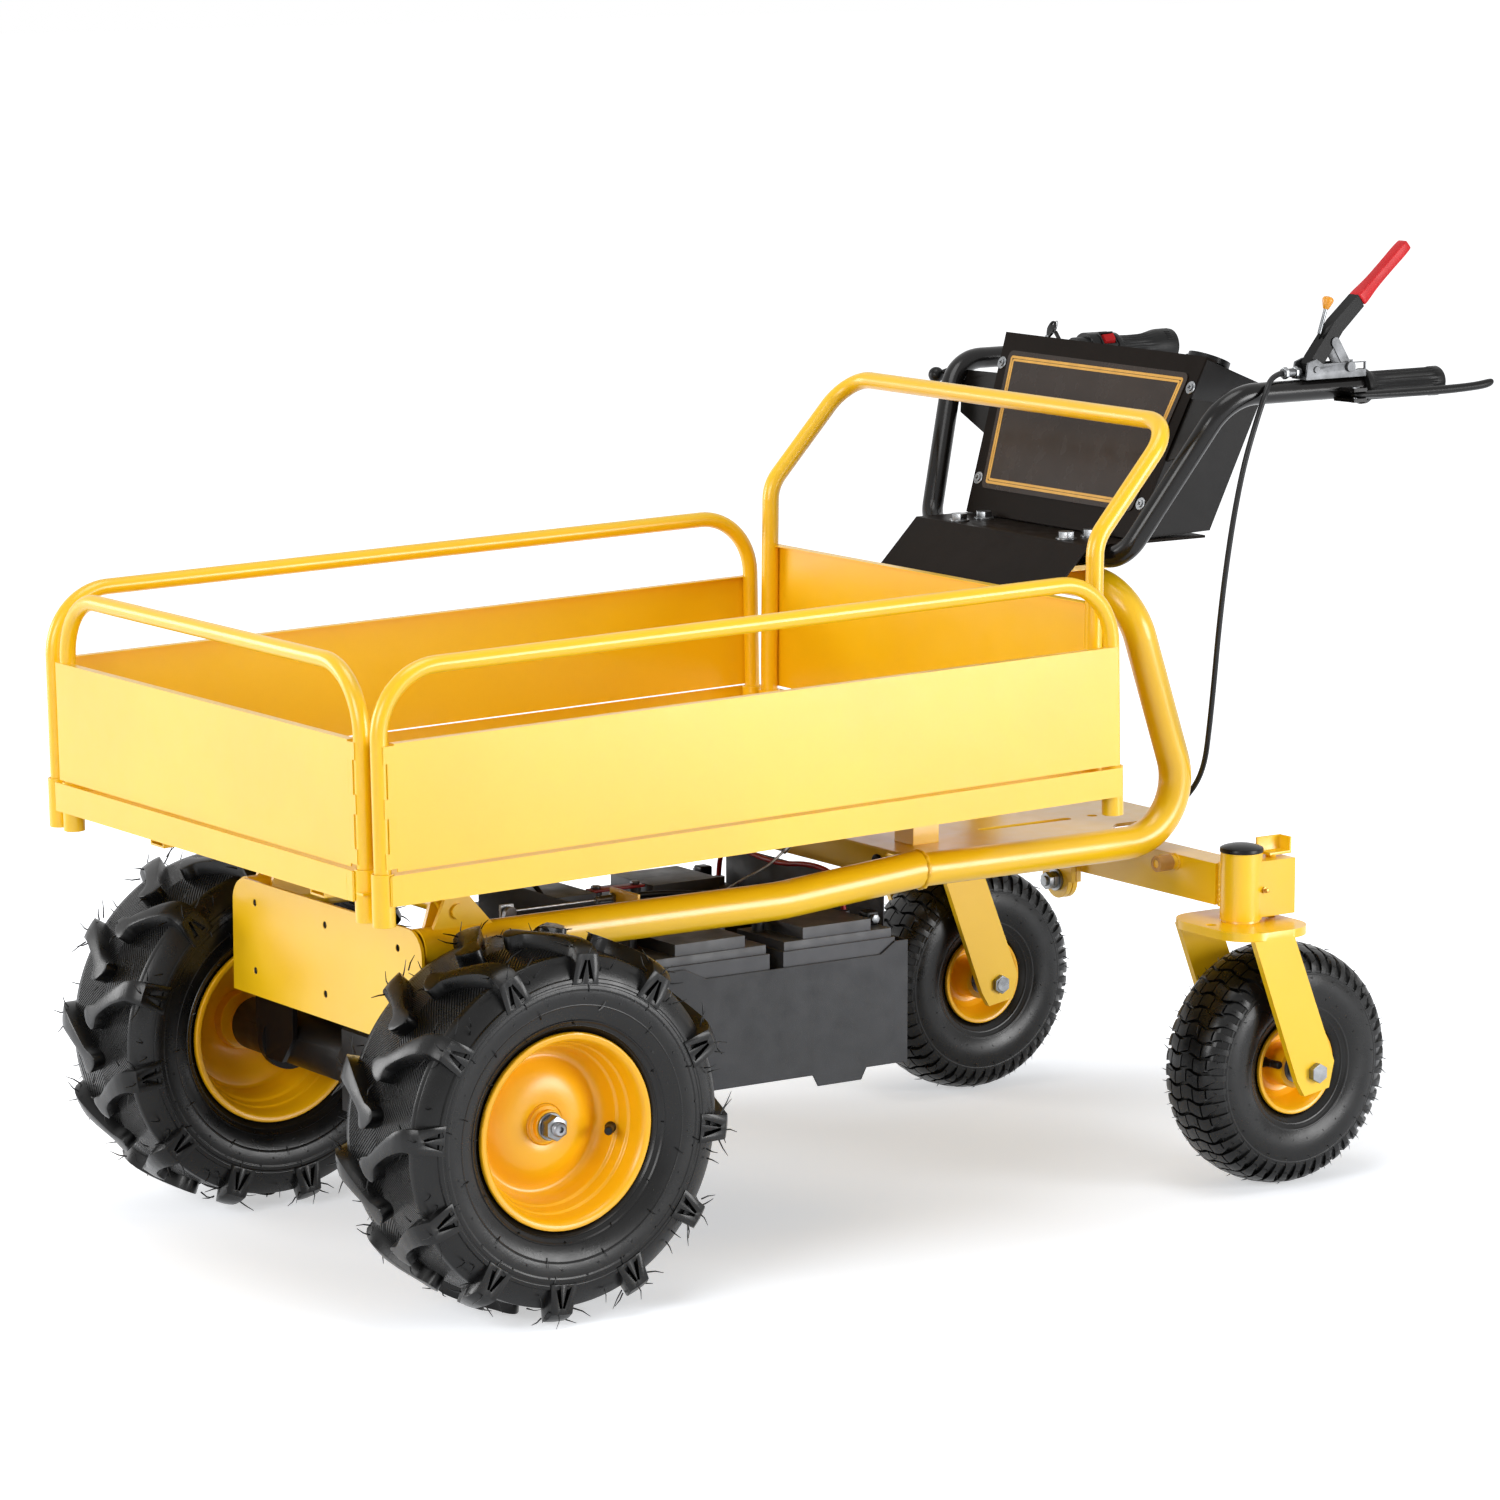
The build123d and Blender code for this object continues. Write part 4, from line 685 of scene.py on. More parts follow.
def makeDriveTyre(spec):
    carcass = spunRing("tyreCarcass", tyreProfile(spec), spec["steps"])
    hatchMap(carcass, spec["pitchRadius"], spec["hatchHalf"], spec["hatchLow"])
    smooth(carcass, 50)
    lug = treadLug(spec)
    smooth(lug, 40)
    twin = copyPiece(lug, "lugTwin", Matrix.Scale(-1, 4, (0, 1, 0)))
    mendMesh(twin)
    pitch = 2 * math.pi / spec["count"]
    parts = [carcass]
    for i in range(spec["count"]):
        parts.append(copyPiece(lug, "lug", Matrix.Rotation(i * pitch, 4, "Y")))
        parts.append(copyPiece(twin, "lug", Matrix.Rotation((i + 0.5) * pitch, 4, "Y")))
    dropPiece(lug)
    dropPiece(twin)
    dice = random.Random(11)
    loose = spec["hairs"]
    for i in range(spec["count"] * 2):
        end = 1 if i % 2 == 0 else -1
        for ends in spec["hairPlaces"]:
            if dice.random() < loose["skip"]:
                continue
            lean = dice.uniform(-loose["lean"], loose["lean"])
            shift = dice.uniform(-loose["shift"], loose["shift"])
            root = ends[0][0]
            places = []
            for k, (s, y, r) in enumerate(ends):
                s = root + (s - root) * loose["long"] + shift + lean * k
                places.append(Vector((s, end * min(y + k, loose["reach"]),
                                      min(r + loose["rise"] * k, loose["top"]))))
            hair = rubberHair(*places, loose["thick"])
            wrapRound(hair, spec["pitchRadius"])
            placeMesh(hair, Matrix.Rotation(i * pitch / 2, 4, "Y"))
            parts.append(hair)
    dots = spec["dots"]
    for i in range(dots["count"]):
        turn = Matrix.Rotation(i * 2 * math.pi / dots["count"], 4, "Y")
        radius, across = dots["rows"][i % 3]
        for end in (-1, 1):
            square = [(k, end * across, radius + h) for k, h in ((-1, -1), (1, -1), (1, 1), (-1, 1))]
            dot = sideMark(square, end * dots["thick"])
            placeMesh(dot, turn)
            parts.append(dot)
    arrow = spec["arrow"]
    r, reach, wide = arrow["radius"], arrow["reach"], arrow["across"]
    neck, thin = reach * arrow["neck"], wide * arrow["neck"]
    points = [(-reach, r - thin), (neck, r - thin), (neck, r - wide), (reach, r), (neck, r + wide),
              (neck, r + thin), (-reach, r + thin)]
    for i in range(arrow["count"]):  # plain direction arrow
        for end in (-1, 1):
            mark = sideMark([(s, end * arrow["level"], radius) for s, radius in points], end * arrow["thick"])
            wrapRound(mark, r)
            placeMesh(mark, Matrix.Rotation(i * 2 * math.pi / arrow["count"] + arrow["start"], 4, "Y"))
            mendMesh(mark, 0.000001)
            parts.append(mark)
    return joinPieces(parts, "driveTyre")


driveRim = {
    "profile": [(68, 103.5), (66.5, 105), (62, 105), (60, 99), (40, 95), (20, 86), (-20, 86), (-40, 95),
                (-60, 99), (-62, 105), (-66.5, 105), (-68, 103.5), (-67, 98), (-58, 94), (-46, 92.5),
                (-44.5, 90), (-32, 88), (-30, 84.5), (-20, 81), (1, 79), (3.5, 76), (4.5, 70), (9, 61),
                (13.5, 52), (17, 40), (18, 22), (24, 22), (24.4, 32), (23.6, 42), (21.2, 51), (17, 58.5),
                (12.2, 65), (9.8, 69), (9, 72), (10, 75.4), (14, 79), (20, 81.6), (30, 83.8), (32, 87),
                (44, 89.2), (46, 92.2), (58, 93.6), (64, 96), (67, 98.5)],
    "steps": 120, "bevel": 1.1,
    "valve": {"place": (78, 30, -12), "direction": (-0.62, 0.78, 0.05), "length": 25.0},
}


def valveStem(spec):
    length = spec["length"]
    profile = [(0, 0.01), (0, 6.2), (2.5, 6.2), (5, 4.9), (length * 0.55, 4.4), (length * 0.57, 3.7),
               (length * 0.6, 3.7), (length * 0.62, 4.6), (length * 0.95, 4.6), (length, 3.8), (length, 0.01)]
    stem = spunRing("valveStem", profile, 16)
    smooth(stem, 40)
    placeMesh(stem, along(spec["place"], spec["direction"]))
    return stem


def turnedRim(name, spec):
    rim = spunRing(name, spec["profile"], spec["steps"])
    bevelEdges(rim, spec["bevel"], 2, 24)
    smooth(rim, 40)
    return rim


casterTyre = {
    "count": 48, "pitchRadius": 138.0, "steps": 144,
    "wall": ((32.3, 56), (48.4, 94), (37.5, 125)), "wallSteps": 96, "crown": 133.6, "crownSteps": 14,
    "bead": (30.5, 50.7), "inner": [(22, 48.8), (40, 80), (41, 105), (33, 122)], "innerCrown": 128,
    "cuts": [[-46, -27, -9.5, 9.5, 27, 46], [-46, -35, -18.5, 0, 18.5, 35, 46]],
    "groove": 4.0, "slit": 1.9, "wave": 2.6, "waves": 2.5, "waveSpan": 88, "shoulder": 6.5, "footGrow": 1.6,
    "tops": [(0, 139.8), (12, 139.2), (24, 137), (33, 133.6), (40, 128.5), (44, 121.5), (46, 115.5)],
    "feet": [(0, 130), (28, 124), (36, 116), (46, 107)],
    "rings": [(64, 65.6, 0.5), (70, 72, 0.6), (109, 111, 0.7), (112.5, 113.6, 0.6)],
    "hairThick": 0.65, "crownHair": ((0, 16, 139), (3, 17, 141), (5, 18, 142.5)),
    "shoulderHair": ((0, 43.6, 122), (1, 45.4, 125), (2, 46, 129)),
    "wallHairs": [((3, 46.6, 104), (3.4, 48.6, 105), (3, 49.6, 107)),
                  ((0, 45.2, 82), (0.4, 47.6, 82.6), (1, 48.8, 84.4))],
}


def treadBlock(low, high, spec):  # one wavy block of a tread row
    pitch = 2 * math.pi * spec["pitchRadius"] / spec["count"]

    def shape(u, v, grow):
        y = low + (high - low) * (v + 1) / 2
        wave = spec["wave"] * math.sin(y / spec["waveSpan"] * 2 * math.pi * spec["waves"])
        long = pitch - spec["groove"] - spec["shoulder"] * smoothStep(31, 44, abs(y)) + grow
        return u * long / 2 + wave, y

    def top(u, v):
        s, y = shape(u, v, 0.0)
        return s, y, betweenStops(spec["tops"], abs(y)) - 0.35 * u * u

    def foot(u, v):
        s, y = shape(u, v, spec["footGrow"])
        return s, y, betweenStops(spec["feet"], abs(y))

    block = reliefBlock("turfBlock", (2, 4), 0.005, top, foot)
    wrapRound(block, spec["pitchRadius"])
    smooth(block, 32)
    return block


def makeCasterTyre(spec):
    carcass = spunRing("turfCarcass", tyreProfile(spec), spec["steps"])
    smooth(carcass, 50)
    parts = [carcass]
    pitch = 2 * math.pi / spec["count"]
    gap = spec["slit"] / 2
    for start, cuts in enumerate(spec["cuts"]):
        for low, high in zip(cuts, cuts[1:]):
            block = treadBlock(low + gap * (low > cuts[0]), high - gap * (high < cuts[-1]), spec)
            for i in range(start, spec["count"], 2):
                parts.append(copyPiece(block, "block", Matrix.Rotation(i * pitch, 4, "Y")))
            dropPiece(block)
    dice = random.Random(5)
    for i in range(spec["count"]):
        for end in (-1, 1):
            spots = [spec["shoulderHair"]]
            if i % 2:
                spots += spec["wallHairs"]
            if i % 3 == 0:
                spots.append(spec["crownHair"])
            for ends in spots:
                lean = dice.uniform(-2, 2)
                places = [Vector((s + lean * k, end * y, r)) for k, (s, y, r) in enumerate(ends)]
                hair = rubberHair(*places, spec["hairThick"])
                wrapRound(hair, spec["pitchRadius"])
                placeMesh(hair, Matrix.Rotation((i + dice.uniform(-0.3, 0.3)) * pitch, 4, "Y"))
                parts.append(hair)
    return joinPieces(parts, "casterTyre")


casterRim = {
    "profile": [(38, 53.8), (36.8, 55), (33, 55), (31, 50), (16, 46), (-16, 46), (-31, 50), (-33, 55),
                (-36.8, 55), (-38, 53.8), (-37, 50), (-32, 46.8), (-20, 43.2), (-11, 39), (-6, 33), (-5, 27),
                (-8, 24.4), (-38, 24), (-38, 17.55), (38, 17.55), (38, 24), (8, 24.4), (5, 27), (6, 33),
                (11, 39), (20, 43.2), (32, 46.8), (37, 50)],
    "steps": 96, "bevel": 0.8,
    "valve": {"place": (-31, 16, 6), "direction": (0.12, 0.99, 0.0), "length": 26.0},
}
driveAxle = (-554.8, 300.0, 205.0)
casterAxle = (454.2, 298.0, 140.0)
floorGap = 0.0002


def wheelPlace(side, x, y, z):
    matrix = Matrix.Translation((x * mm, side * y * mm, z * mm))
    return matrix @ Matrix.Scale(-1, 4, (0, 1, 0)) if side < 0 else matrix


def settleWheel(model, name, side, place, body, finish, *stoodFor):
    piece = copyPiece(model, name, wheelPlace(side, *place))
    if side < 0:
        editAll(piece)
        bpy.ops.mesh.flip_normals()
        objectMode()
    for vertex in piece.data.vertices:
        vertex.co.z = max(vertex.co.z, floorGap)
    return settle(piece, body, finish, *stoodFor)


wheelSets = [("drive", driveTyre, makeDriveTyre, driveRim, driveAxle),
             ("caster", casterTyre, makeCasterTyre, casterRim, casterAxle)]
for kind, tyreSpec, makeTyre, rimSpec, place in wheelSets:
    models = [("Tyre", makeTyre(tyreSpec), "treadRubber"), ("Rim", turnedRim(kind + "Rim", rimSpec),
                                                            "rimCoat"),
              ("Valve", valveStem(rimSpec["valve"]), "blackPlastic")]
    for sideName, sideWord, side in sides:
        for name, model, finish in models:
            stands = [] if name == "Valve" else [f"{kind}_{name.lower()}_{sideWord}"]
            settleWheel(model, kind + name + sideName, side, place, f"{kind}_wheel_{sideWord}", finish,
                        *stands)
    for name, model, finish in models:
        dropPiece(model)
    print(kind, "wheels made")


# drive hubs: yellow boss, bright nut and stud, half shaft

driveHub = {
    "boss": [(-12, 12.6), (-12, 21.8), (2, 21.8), (2, 33), (3, 34), (17.6, 34), (17.8, 33), (17.8, 21.8),
             (23.5, 21.8), (24.3, 20.6), (25.4, 20.9), (26.6, 20.2), (27.4, 18.4), (28, 17), (33.4, 17),
             (34, 16.4), (34, 8.2), (0, 8.2)],
    "washer": [(34, 8.2), (34, 14.4), (34.6, 15), (35.9, 15), (36.5, 14.4), (36.5, 8.2)],
    "stud": [(36, 0.01), (36, 8), (50, 8), (50.6, 7.3), (51.4, 8), (52, 7.3), (52.8, 8), (53.4, 7.3),
             (54.2, 7.9), (55.2, 7.2), (56, 6), (56, 3.2), (53, 2.6), (53, 0.01)],
    "shaft": [(-200, 0.01), (-200, 11.6), (-199, 12.5), (-13, 12.5), (-12, 12.5), (-12, 0.01)],
    "nutFlats": 24.0, "nut": (36.5, 49.0),
}
hubParts = [("Boss", spunRing("hubBoss", driveHub["boss"], 48), "rimCoat"),
            ("Washer", spunRing("hubWasher", driveHub["washer"], 32), "zincPlate"),
            ("Stud", spunRing("hubStud", driveHub["stud"], 24), "bearingSteel"),
            ("Shaft", spunRing("hubShaft", driveHub["shaft"], 24), "bearingSteel"),
            ("Nut", hexNut("hubNut", driveHub["nutFlats"], *driveHub["nut"]), "zincPlate")]
for partName, model, finish in hubParts:
    smooth(model, 30)
    for sideName, sideWord, side in sides:
        stands = [f"drive_hub_{sideWord}"] if partName == "Boss" else []
        settleWheel(model, "hub" + partName + sideName, side, driveAxle, "drive_wheel_" + sideWord, finish,
                    *stands)
    dropPiece(model)
print("hubs made")


# softened copies of the CAD metalwork

softEdges = {  # bevel width in mm
    "battery_tray": 0.9, "batteries": 1.8, "bed_rails": 1.2, "caster_axle_left": 0.9,
    "caster_axle_right": 0.9, "caster_fork_left": 1.6, "caster_fork_right": 1.6, "deck_plate": 0.8,
    "front_plate": 0.8, "rear_beam": 1.8, "lock_pin_left": 0.8, "lock_pin_right": 0.8, "mount_plate": 0.8,
    "console_shell": 1.0, "console_face": 0.7, "parking_base": 0.7, "parking_lever": 1.6, "transaxle": 2.0,
    "motor_controller": 0.8, "brake_arm": 0.9, "frame_bolts": 0.7, "throttle_housing": 1.6,
    "rocker_switch": 0.7, "charge_cap": 1.4, "toggle_link": 0.4, "bed_sockets": 0.6,
}
recordSlots = {row["node"]: row["material_slot"] for row in frame["record"]["subparts"]}
slimmed = {"parking_lever": ((522.0, 929.0), (591.4, 1004.4), 0.7)}  # line in X and Z, share of width kept


def slim(piece, start, end, share):
    base = Vector((start[0], 0, start[1])) * mm
    run = Vector((end[0] - start[0], 0, end[1] - start[1])).normalized()
    across = Vector((-run.z, 0, run.x))
    for vertex in piece.data.vertices:
        offset = (vertex.co - base).dot(across)
        vertex.co -= across * offset * (1 - share)
    piece.data.update()


rockerTaper = {"origin": (623.0, 258.0, 905.0), "lean": 50.0, "low": 20.0, "high": 28.5, "long": 0.84,
               "across": 0.6}


def taperRocker(piece):  # narrower towards its outer face
    spec = rockerTaper
    local = Matrix.Translation(Vector(spec["origin"]) * mm) @ Matrix.Rotation(math.radians(spec["lean"]), 4,
                                                                              "X")
    placeMesh(piece, local.inverted())
    for vertex in piece.data.vertices:
        share = smoothStep(spec["low"], spec["high"], vertex.co.z / mm)
        vertex.co.x *= 1 - (1 - spec["long"]) * share
        vertex.co.y *= 1 - (1 - spec["across"]) * share
    placeMesh(piece, local)


def softCopy(nodeName, width):
    node = nodes[nodeName]
    bodyName = node["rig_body"]
    words = nodeName.split("_")
    piece = copyPiece(node, "soft" + "".join(word.capitalize() for word in words))
    piece.parent = None
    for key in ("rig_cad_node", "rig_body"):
        if key in piece:
            del piece[key]
    editAll(piece)
    bpy.ops.mesh.remove_doubles(threshold=0.00001)
    bpy.ops.mesh.dissolve_limited(angle_limit=math.radians(0.6))
    objectMode()
    if nodeName in slimmed:
        slim(piece, *slimmed[nodeName])
    if nodeName == "rocker_switch":
        taperRocker(piece)
    bevelEdges(piece, width, 2, 40)
    smooth(piece, 20)
    return settle(piece, bodyName, finishOf[nodeName], nodeName, slot=recordSlots[nodeName])


for nodeName, width in softEdges.items():
    softCopy(nodeName, width)
print("softened", len(softEdges), "nodes")


# small shapes for the frame

def boxPiece(name, low, high, bevel=0.6, segments=2):
    piece = newMesh("cube", name, size=1)
    centre = (Vector(low) + Vector(high)) / 2 * mm
    size = (Vector(high) - Vector(low)) * mm
    placeMesh(piece, Matrix.Translation(centre) @ Matrix.Diagonal((*size, 1)))
    bevelEdges(piece, bevel, segments, 40)
    smooth(piece, 32)
    return piece


def turnedPiece(name, profile, origin, direction, steps=24):
    piece = spunRing(name, profile, steps)
    smooth(piece, 32)
    placeMesh(piece, along(origin, direction))
    return piece


def hexPiece(name, flats, height, origin, direction, chamfer=0.8):
    piece = hexNut(name, flats, 0.0, height, chamfer)
    placeMesh(piece, along(origin, direction))
    return piece


def bore(piece, origin, direction, radius):
    cutter = newMesh("cylinder", "cutter", vertices=24, radius=radius * mm, depth=0.1)
    placeMesh(cutter, along(origin, direction) @ Matrix.Rotation(math.pi / 2, 4, "X"))
    subtract(piece, cutter)
    smooth(piece, 32)
    return piece


def weldLine(name, points, radius, closed=False):  # a rippled bead along points in mm
    places = []
    ring = points + points[:1] if closed else points
    for a, b in zip(ring, ring[1:]):
        a, b = Vector(a), Vector(b)
        count = max(1, round((b - a).length / (radius * 0.55)))
        places += [a + (b - a) * i / count for i in range(count)]
    places += [] if closed else [Vector(points[-1])]
    piece, spline = newCurve(name, "POLY", [place * mm for place in places])
    for i, point in enumerate(spline.points):
        point.radius = (1.0, 1.12, 0.94, 0.8)[i % 4]
    spline.use_cyclic_u = closed
    piece.data.bevel_depth = radius * mm
    piece.data.bevel_resolution = 1
    piece.data.use_fill_caps = not closed
    pick(piece)
    bpy.ops.object.convert(target="MESH")
    piece = bpy.context.object
    piece.name = name
    mendMesh(piece)
    smooth(piece, 60)
    return piece


def ringPoints(centre, radius, axis, count=28, start=0.0, sweep=360.0):
    places = []
    for i in range(count + (sweep < 360)):
        angle = math.radians(start + sweep * i / count)
        a, b = radius * math.cos(angle), radius * math.sin(angle)
        x, y, z = centre
        places.append({"x": (x, y + a, z + b), "y": (x + a, y, z + b), "z": (x + a, y + b, z)}[axis])
    return places


welds = {
    "tubeSeam": {"place": (32.6, 180.0, 390.2), "radius": 19.9, "bead": 3.4, "count": 28},
    "headBead": {"x": 400, "y": 298, "radius": 24, "angles": range(-146, -33, 8), "low": 327.0, "high": 375.0,
                 "bead": 2.6},
    "pegBead": {"place": (379.6, 203.0, 366.0), "radius": 8.6, "bead": 1.8, "count": 16},
}


def weldRing(name, body, side):
    spec = welds[name]
    x, y, z = spec["place"]
    ring = ringPoints((x, side * y, z), spec["radius"], "x", spec["count"])
    bead = weldLine(name + ("Left" if side < 0 else "Right"), ring, spec["bead"], True)
    settle(bead, body, "weldBead")


for sideName, sideWord, side in sides:
    weldRing("tubeSeam", "chassis", side)
    head = welds["headBead"]
    arc = []
    for angle in head["angles"]:
        a = math.radians(angle)
        arc.append(Vector((head["x"] + head["radius"] * math.cos(a),
                           side * (head["y"] + head["radius"] * math.sin(a)), 0)))
    path = [(arc[0].x, arc[0].y, head["low"])] + [(p.x, p.y, head["high"]) for p in arc]
    path += [(arc[-1].x, arc[-1].y, head["low"])]
    settle(weldLine("headBead" + sideName, path, head["bead"]), "rear_axle", "weldBead")
    weldRing("pegBead", "rear_axle", side)
print("weld beads laid")


# rear axle trim: stop sleeves, head caps, grease nipples

pegSleeve = {"inner": 8.03, "outer": 9.2, "long": 21.0, "place": (351.6, 203.0, 366.0)}
headCap = {"profile": [(0.2, 0.01), (0.2, 24.6), (0.8, 25), (4.2, 25), (5.2, 24.4), (6.6, 21.5), (8.2, 16),
                       (9.4, 9), (9.8, 0.01)], "place": (400.0, 298.0, 390.0)}
nipple = {"profile": [(0, 0.01), (0, 3.6), (2.2, 3.6), (2.4, 2.6), (4.6, 2.6), (5.0, 1.9), (5.8, 2.6),
                      (6.8, 2.2), (7.2, 0.01)], "place": (417.0, 319.0, 347.0)}
inner, outer, long = pegSleeve["inner"], pegSleeve["outer"], pegSleeve["long"]
sleeveRing = [(0, inner - 3), (0, outer - 0.5), (0.6, outer), (long - 0.6, outer), (long, outer - 0.5),
              (long, inner), (1.4, inner), (1.4, inner - 3)]
for sideName, sideWord, side in sides:
    x, y, z = pegSleeve["place"]
    sleeve = turnedPiece("pegSleeve" + sideName, sleeveRing, (x, side * y, z), (1, 0, 0))
    settle(sleeve, "rear_axle", "tanNylon")
    x, y, z = headCap["place"]
    cap = turnedPiece("headCap" + sideName, headCap["profile"], (x, side * y, z), (0, 0, 1), 40)
    settle(cap, "rear_axle", "blackPlastic", *(["head_caps"] if side < 0 else []))
    x, y, z = nipple["place"]
    grease = turnedPiece("greaseNipple" + sideName, nipple["profile"], (x, side * y, z), (0, side, 0), 12)
    settle(grease, "rear_axle", "brassPlate")
print("axle trim made")


# sheet edges between the gates' weld tabs

gateEdge = {"near": 3.6, "far": 12.5, "front": (-9.95, -8.55), "side": (357.95, 359.35),
            "gaps": ((75.5, 112.5), (131.5, 168.5))}
bandEnd = {"near": 2.5, "far": 14.4, "front": (-14.6, -12.35), "side": (361.75, 364.0),
           "low": 22.1, "high": 53.9, "bead": 1.4, "inward": 0.6}
endPost = 316.0
bedFrame = {"place": (-0.7616, 0.0, 0.4422), "lean": -1.3}
bedPlace = Matrix.Translation(bedFrame["place"]) @ Matrix.Rotation(math.radians(bedFrame["lean"]), 4, "Y")


def cornerSpans(spec):  # spans in X and Y beside the front posts, in the bed's own frame
    span = (spec["near"], spec["far"])
    low, high = spec["side"]
    return {"front": (spec["front"], (span[0] - endPost, span[1] - endPost)),
            "right": (span, (low, high)), "left": (span, (-high, -low))}


for gate, ((x0, x1), (y0, y1)) in cornerSpans(gateEdge).items():
    parts = [boxPiece("strip", (x0, y0, low), (x1, y1, high), 0.1, 1) for low, high in gateEdge["gaps"]]
    strip = joinPieces(parts, gate + "SheetEdge")
    placeMesh(strip, bedPlace)
    settle(strip, gate + "_gate", "yellowCoat")
for gate, ((x0, x1), (y0, y1)) in cornerSpans(bandEnd).items():
    strip = boxPiece("strip", (x0, y0, bandEnd["low"]), (x1, y1, bandEnd["high"]), 0.2, 1)
    x, y = ((x0 + x1) / 2, y0) if gate == "front" else (x0, (y0 + y1) / 2)
    x, y = (x + bandEnd["inward"], y) if gate == "front" else (x, y - math.copysign(bandEnd["inward"], y))
    bead = weldLine("bead", [(x, y, bandEnd["low"] + 1), (x, y, bandEnd["high"] - 1)], bandEnd["bead"])
    corner = joinPieces([strip, bead], gate + "BandEnd")
    placeMesh(corner, bedPlace)
    settle(corner, "bed", "yellowCoat")
print("gate sheets and band ends edged")


# dark liners in the front plate's holes: painted shade for the dark cavity behind the plate

plateHole = {"x": -628.0, "y": (-152.0, 0.0, 152.0), "z": (296.0, 372.0),
             "profile": [(0.8, 3.5), (0.8, 3.98), (3.2, 3.98), (3.2, 3.5)]}
edges = [turnedPiece("edge", plateHole["profile"], (plateHole["x"], y, z), (1, 0, 0), 28)
         for y in plateHole["y"] for z in plateHole["z"]]
settle(joinPieces(edges, "plateHoleShadeLiners"), "chassis", "castAlloy")
print("plate holes edged")


# brake cable adjuster and bracket, battery links

cableEnd = {"place": (-312.8, -113.0, 387.0), "bracket": ((-330, -160, 374), (-326, -104, 398)),
            "nuts": (("adjusterNutBack", 8.6), ("adjusterNutFront", 17.4)), "flats": 11.0, "tall": 4.4,
            "nutHole": 4.0, "bracketHole": 4.6}
sleeveProfile = [(0, 1.3), (0, 5.0), (0.8, 5.5), (9, 5.5), (9.8, 4.6), (12, 4.2)]
for turn in range(14):  # threads
    sleeveProfile += [(12.6 + turn * 1.8, 4.4), (13.5 + turn * 1.8, 3.8)]
sleeveProfile += [(39.5, 4.2), (41.2, 3.4), (41.2, 1.3)]
x, y, z = cableEnd["place"]
adjuster = turnedPiece("cableAdjuster", sleeveProfile, (x, y, z), (-1, 0, 0), 16)
settle(adjuster, "chassis", "zincPlate")
for name, offset in cableEnd["nuts"]:
    nut = hexPiece(name, cableEnd["flats"], cableEnd["tall"], (x - offset, y, z), (-1, 0, 0), 0.5)
    bore(nut, (x - offset, y, z), (-1, 0, 0), cableEnd["nutHole"])
    settle(nut, "chassis", "zincPlate")
tab = boxPiece("cableBracket", *cableEnd["bracket"], 1.2)
bore(tab, (x - 15, y, z), (-1, 0, 0), cableEnd["bracketHole"])
settle(tab, "chassis", "yellowCoat")

busLink = {"front": -208.5, "back": -137.5, "y": 124.0, "half": 8.0, "low": 342.2, "high": 345.2,
           "bolts": (("Front", -199.5), ("Back", -146.5))}
for sideName, sideWord, side in sides:
    y = side * busLink["y"]
    bar = boxPiece("busLink" + sideName, (busLink["front"], y - busLink["half"], busLink["low"]),
                   (busLink["back"], y + busLink["half"], busLink["high"]), 0.8)
    settle(bar, "chassis", "leadJacket")
    for name, x in busLink["bolts"]:
        bolt = hexPiece("postBolt" + name + sideName, 10.0, 4.0, (x, y, busLink["high"]), (0, 0, 1), 0.6)
        settle(bolt, "chassis", "zincPlate")
terminal = {"low": (-33.0, 156.0, 331.5), "high": (-17.0, 173.0, 348.0), "bolt": (-25.0, 173.0, 340.0)}
for sideName, sideWord, side in sides:
    (x0, y0, z0), (x1, y1, z1) = terminal["low"], terminal["high"]
    near, far = sorted((side * y0, side * y1))
    boot = boxPiece("terminalBoot" + sideName, (x0, near, z0), (x1, far, z1), 2.5, 3)
    settle(boot, "chassis", "blackPlastic")
    x, y, z = terminal["bolt"]
    bolt = hexPiece("terminalBolt" + sideName, 10.0, 6.0, (x, side * y, z), (0, side, 0), 0.8)
    settle(bolt, "chassis", "zincPlate")
ferrule = turnedPiece("tetherFerrule", [(0, 1.6), (0, 3.2), (1, 3.6), (13, 3.6), (14, 3.2), (14, 1.6)],
                      (-117.8, -146.2, 431.0), (-0.50, 0.40, -0.77), 12)
settle(ferrule, "bed", "zincPlate")
grommet = turnedPiece("deckGrommet", [(0, 3.0), (0, 8.0), (1.2, 9.4), (3.0, 9.4), (4.2, 7.6), (4.2, 3.0)],
                      (32.0, -104.0, 387.0), (-1, 0, 0), 28)
settle(grommet, "chassis", "blackPlastic")
print("tray and cable trim made")


# console: label border, screws, key

faceUp = Vector((0.36509, 0.0, 0.93097))
faceOut = Vector((-0.93097, 0.0, 0.36509))


def frameMatrix(origin, xAxis, yAxis, zAxis):
    matrix = Matrix((xAxis, yAxis, zAxis)).transposed().to_4x4()
    return Matrix.Translation(Vector(origin) * mm) @ matrix


facePlace = frameMatrix((350, 0, 735), Vector((0, -1, 0)), faceUp, faceOut)


def topPoint(back, y, lift=0.0):
    return Vector((430, y, 939)) + Vector((0.93097, 0.0, -0.36509)) * back + faceUp * lift


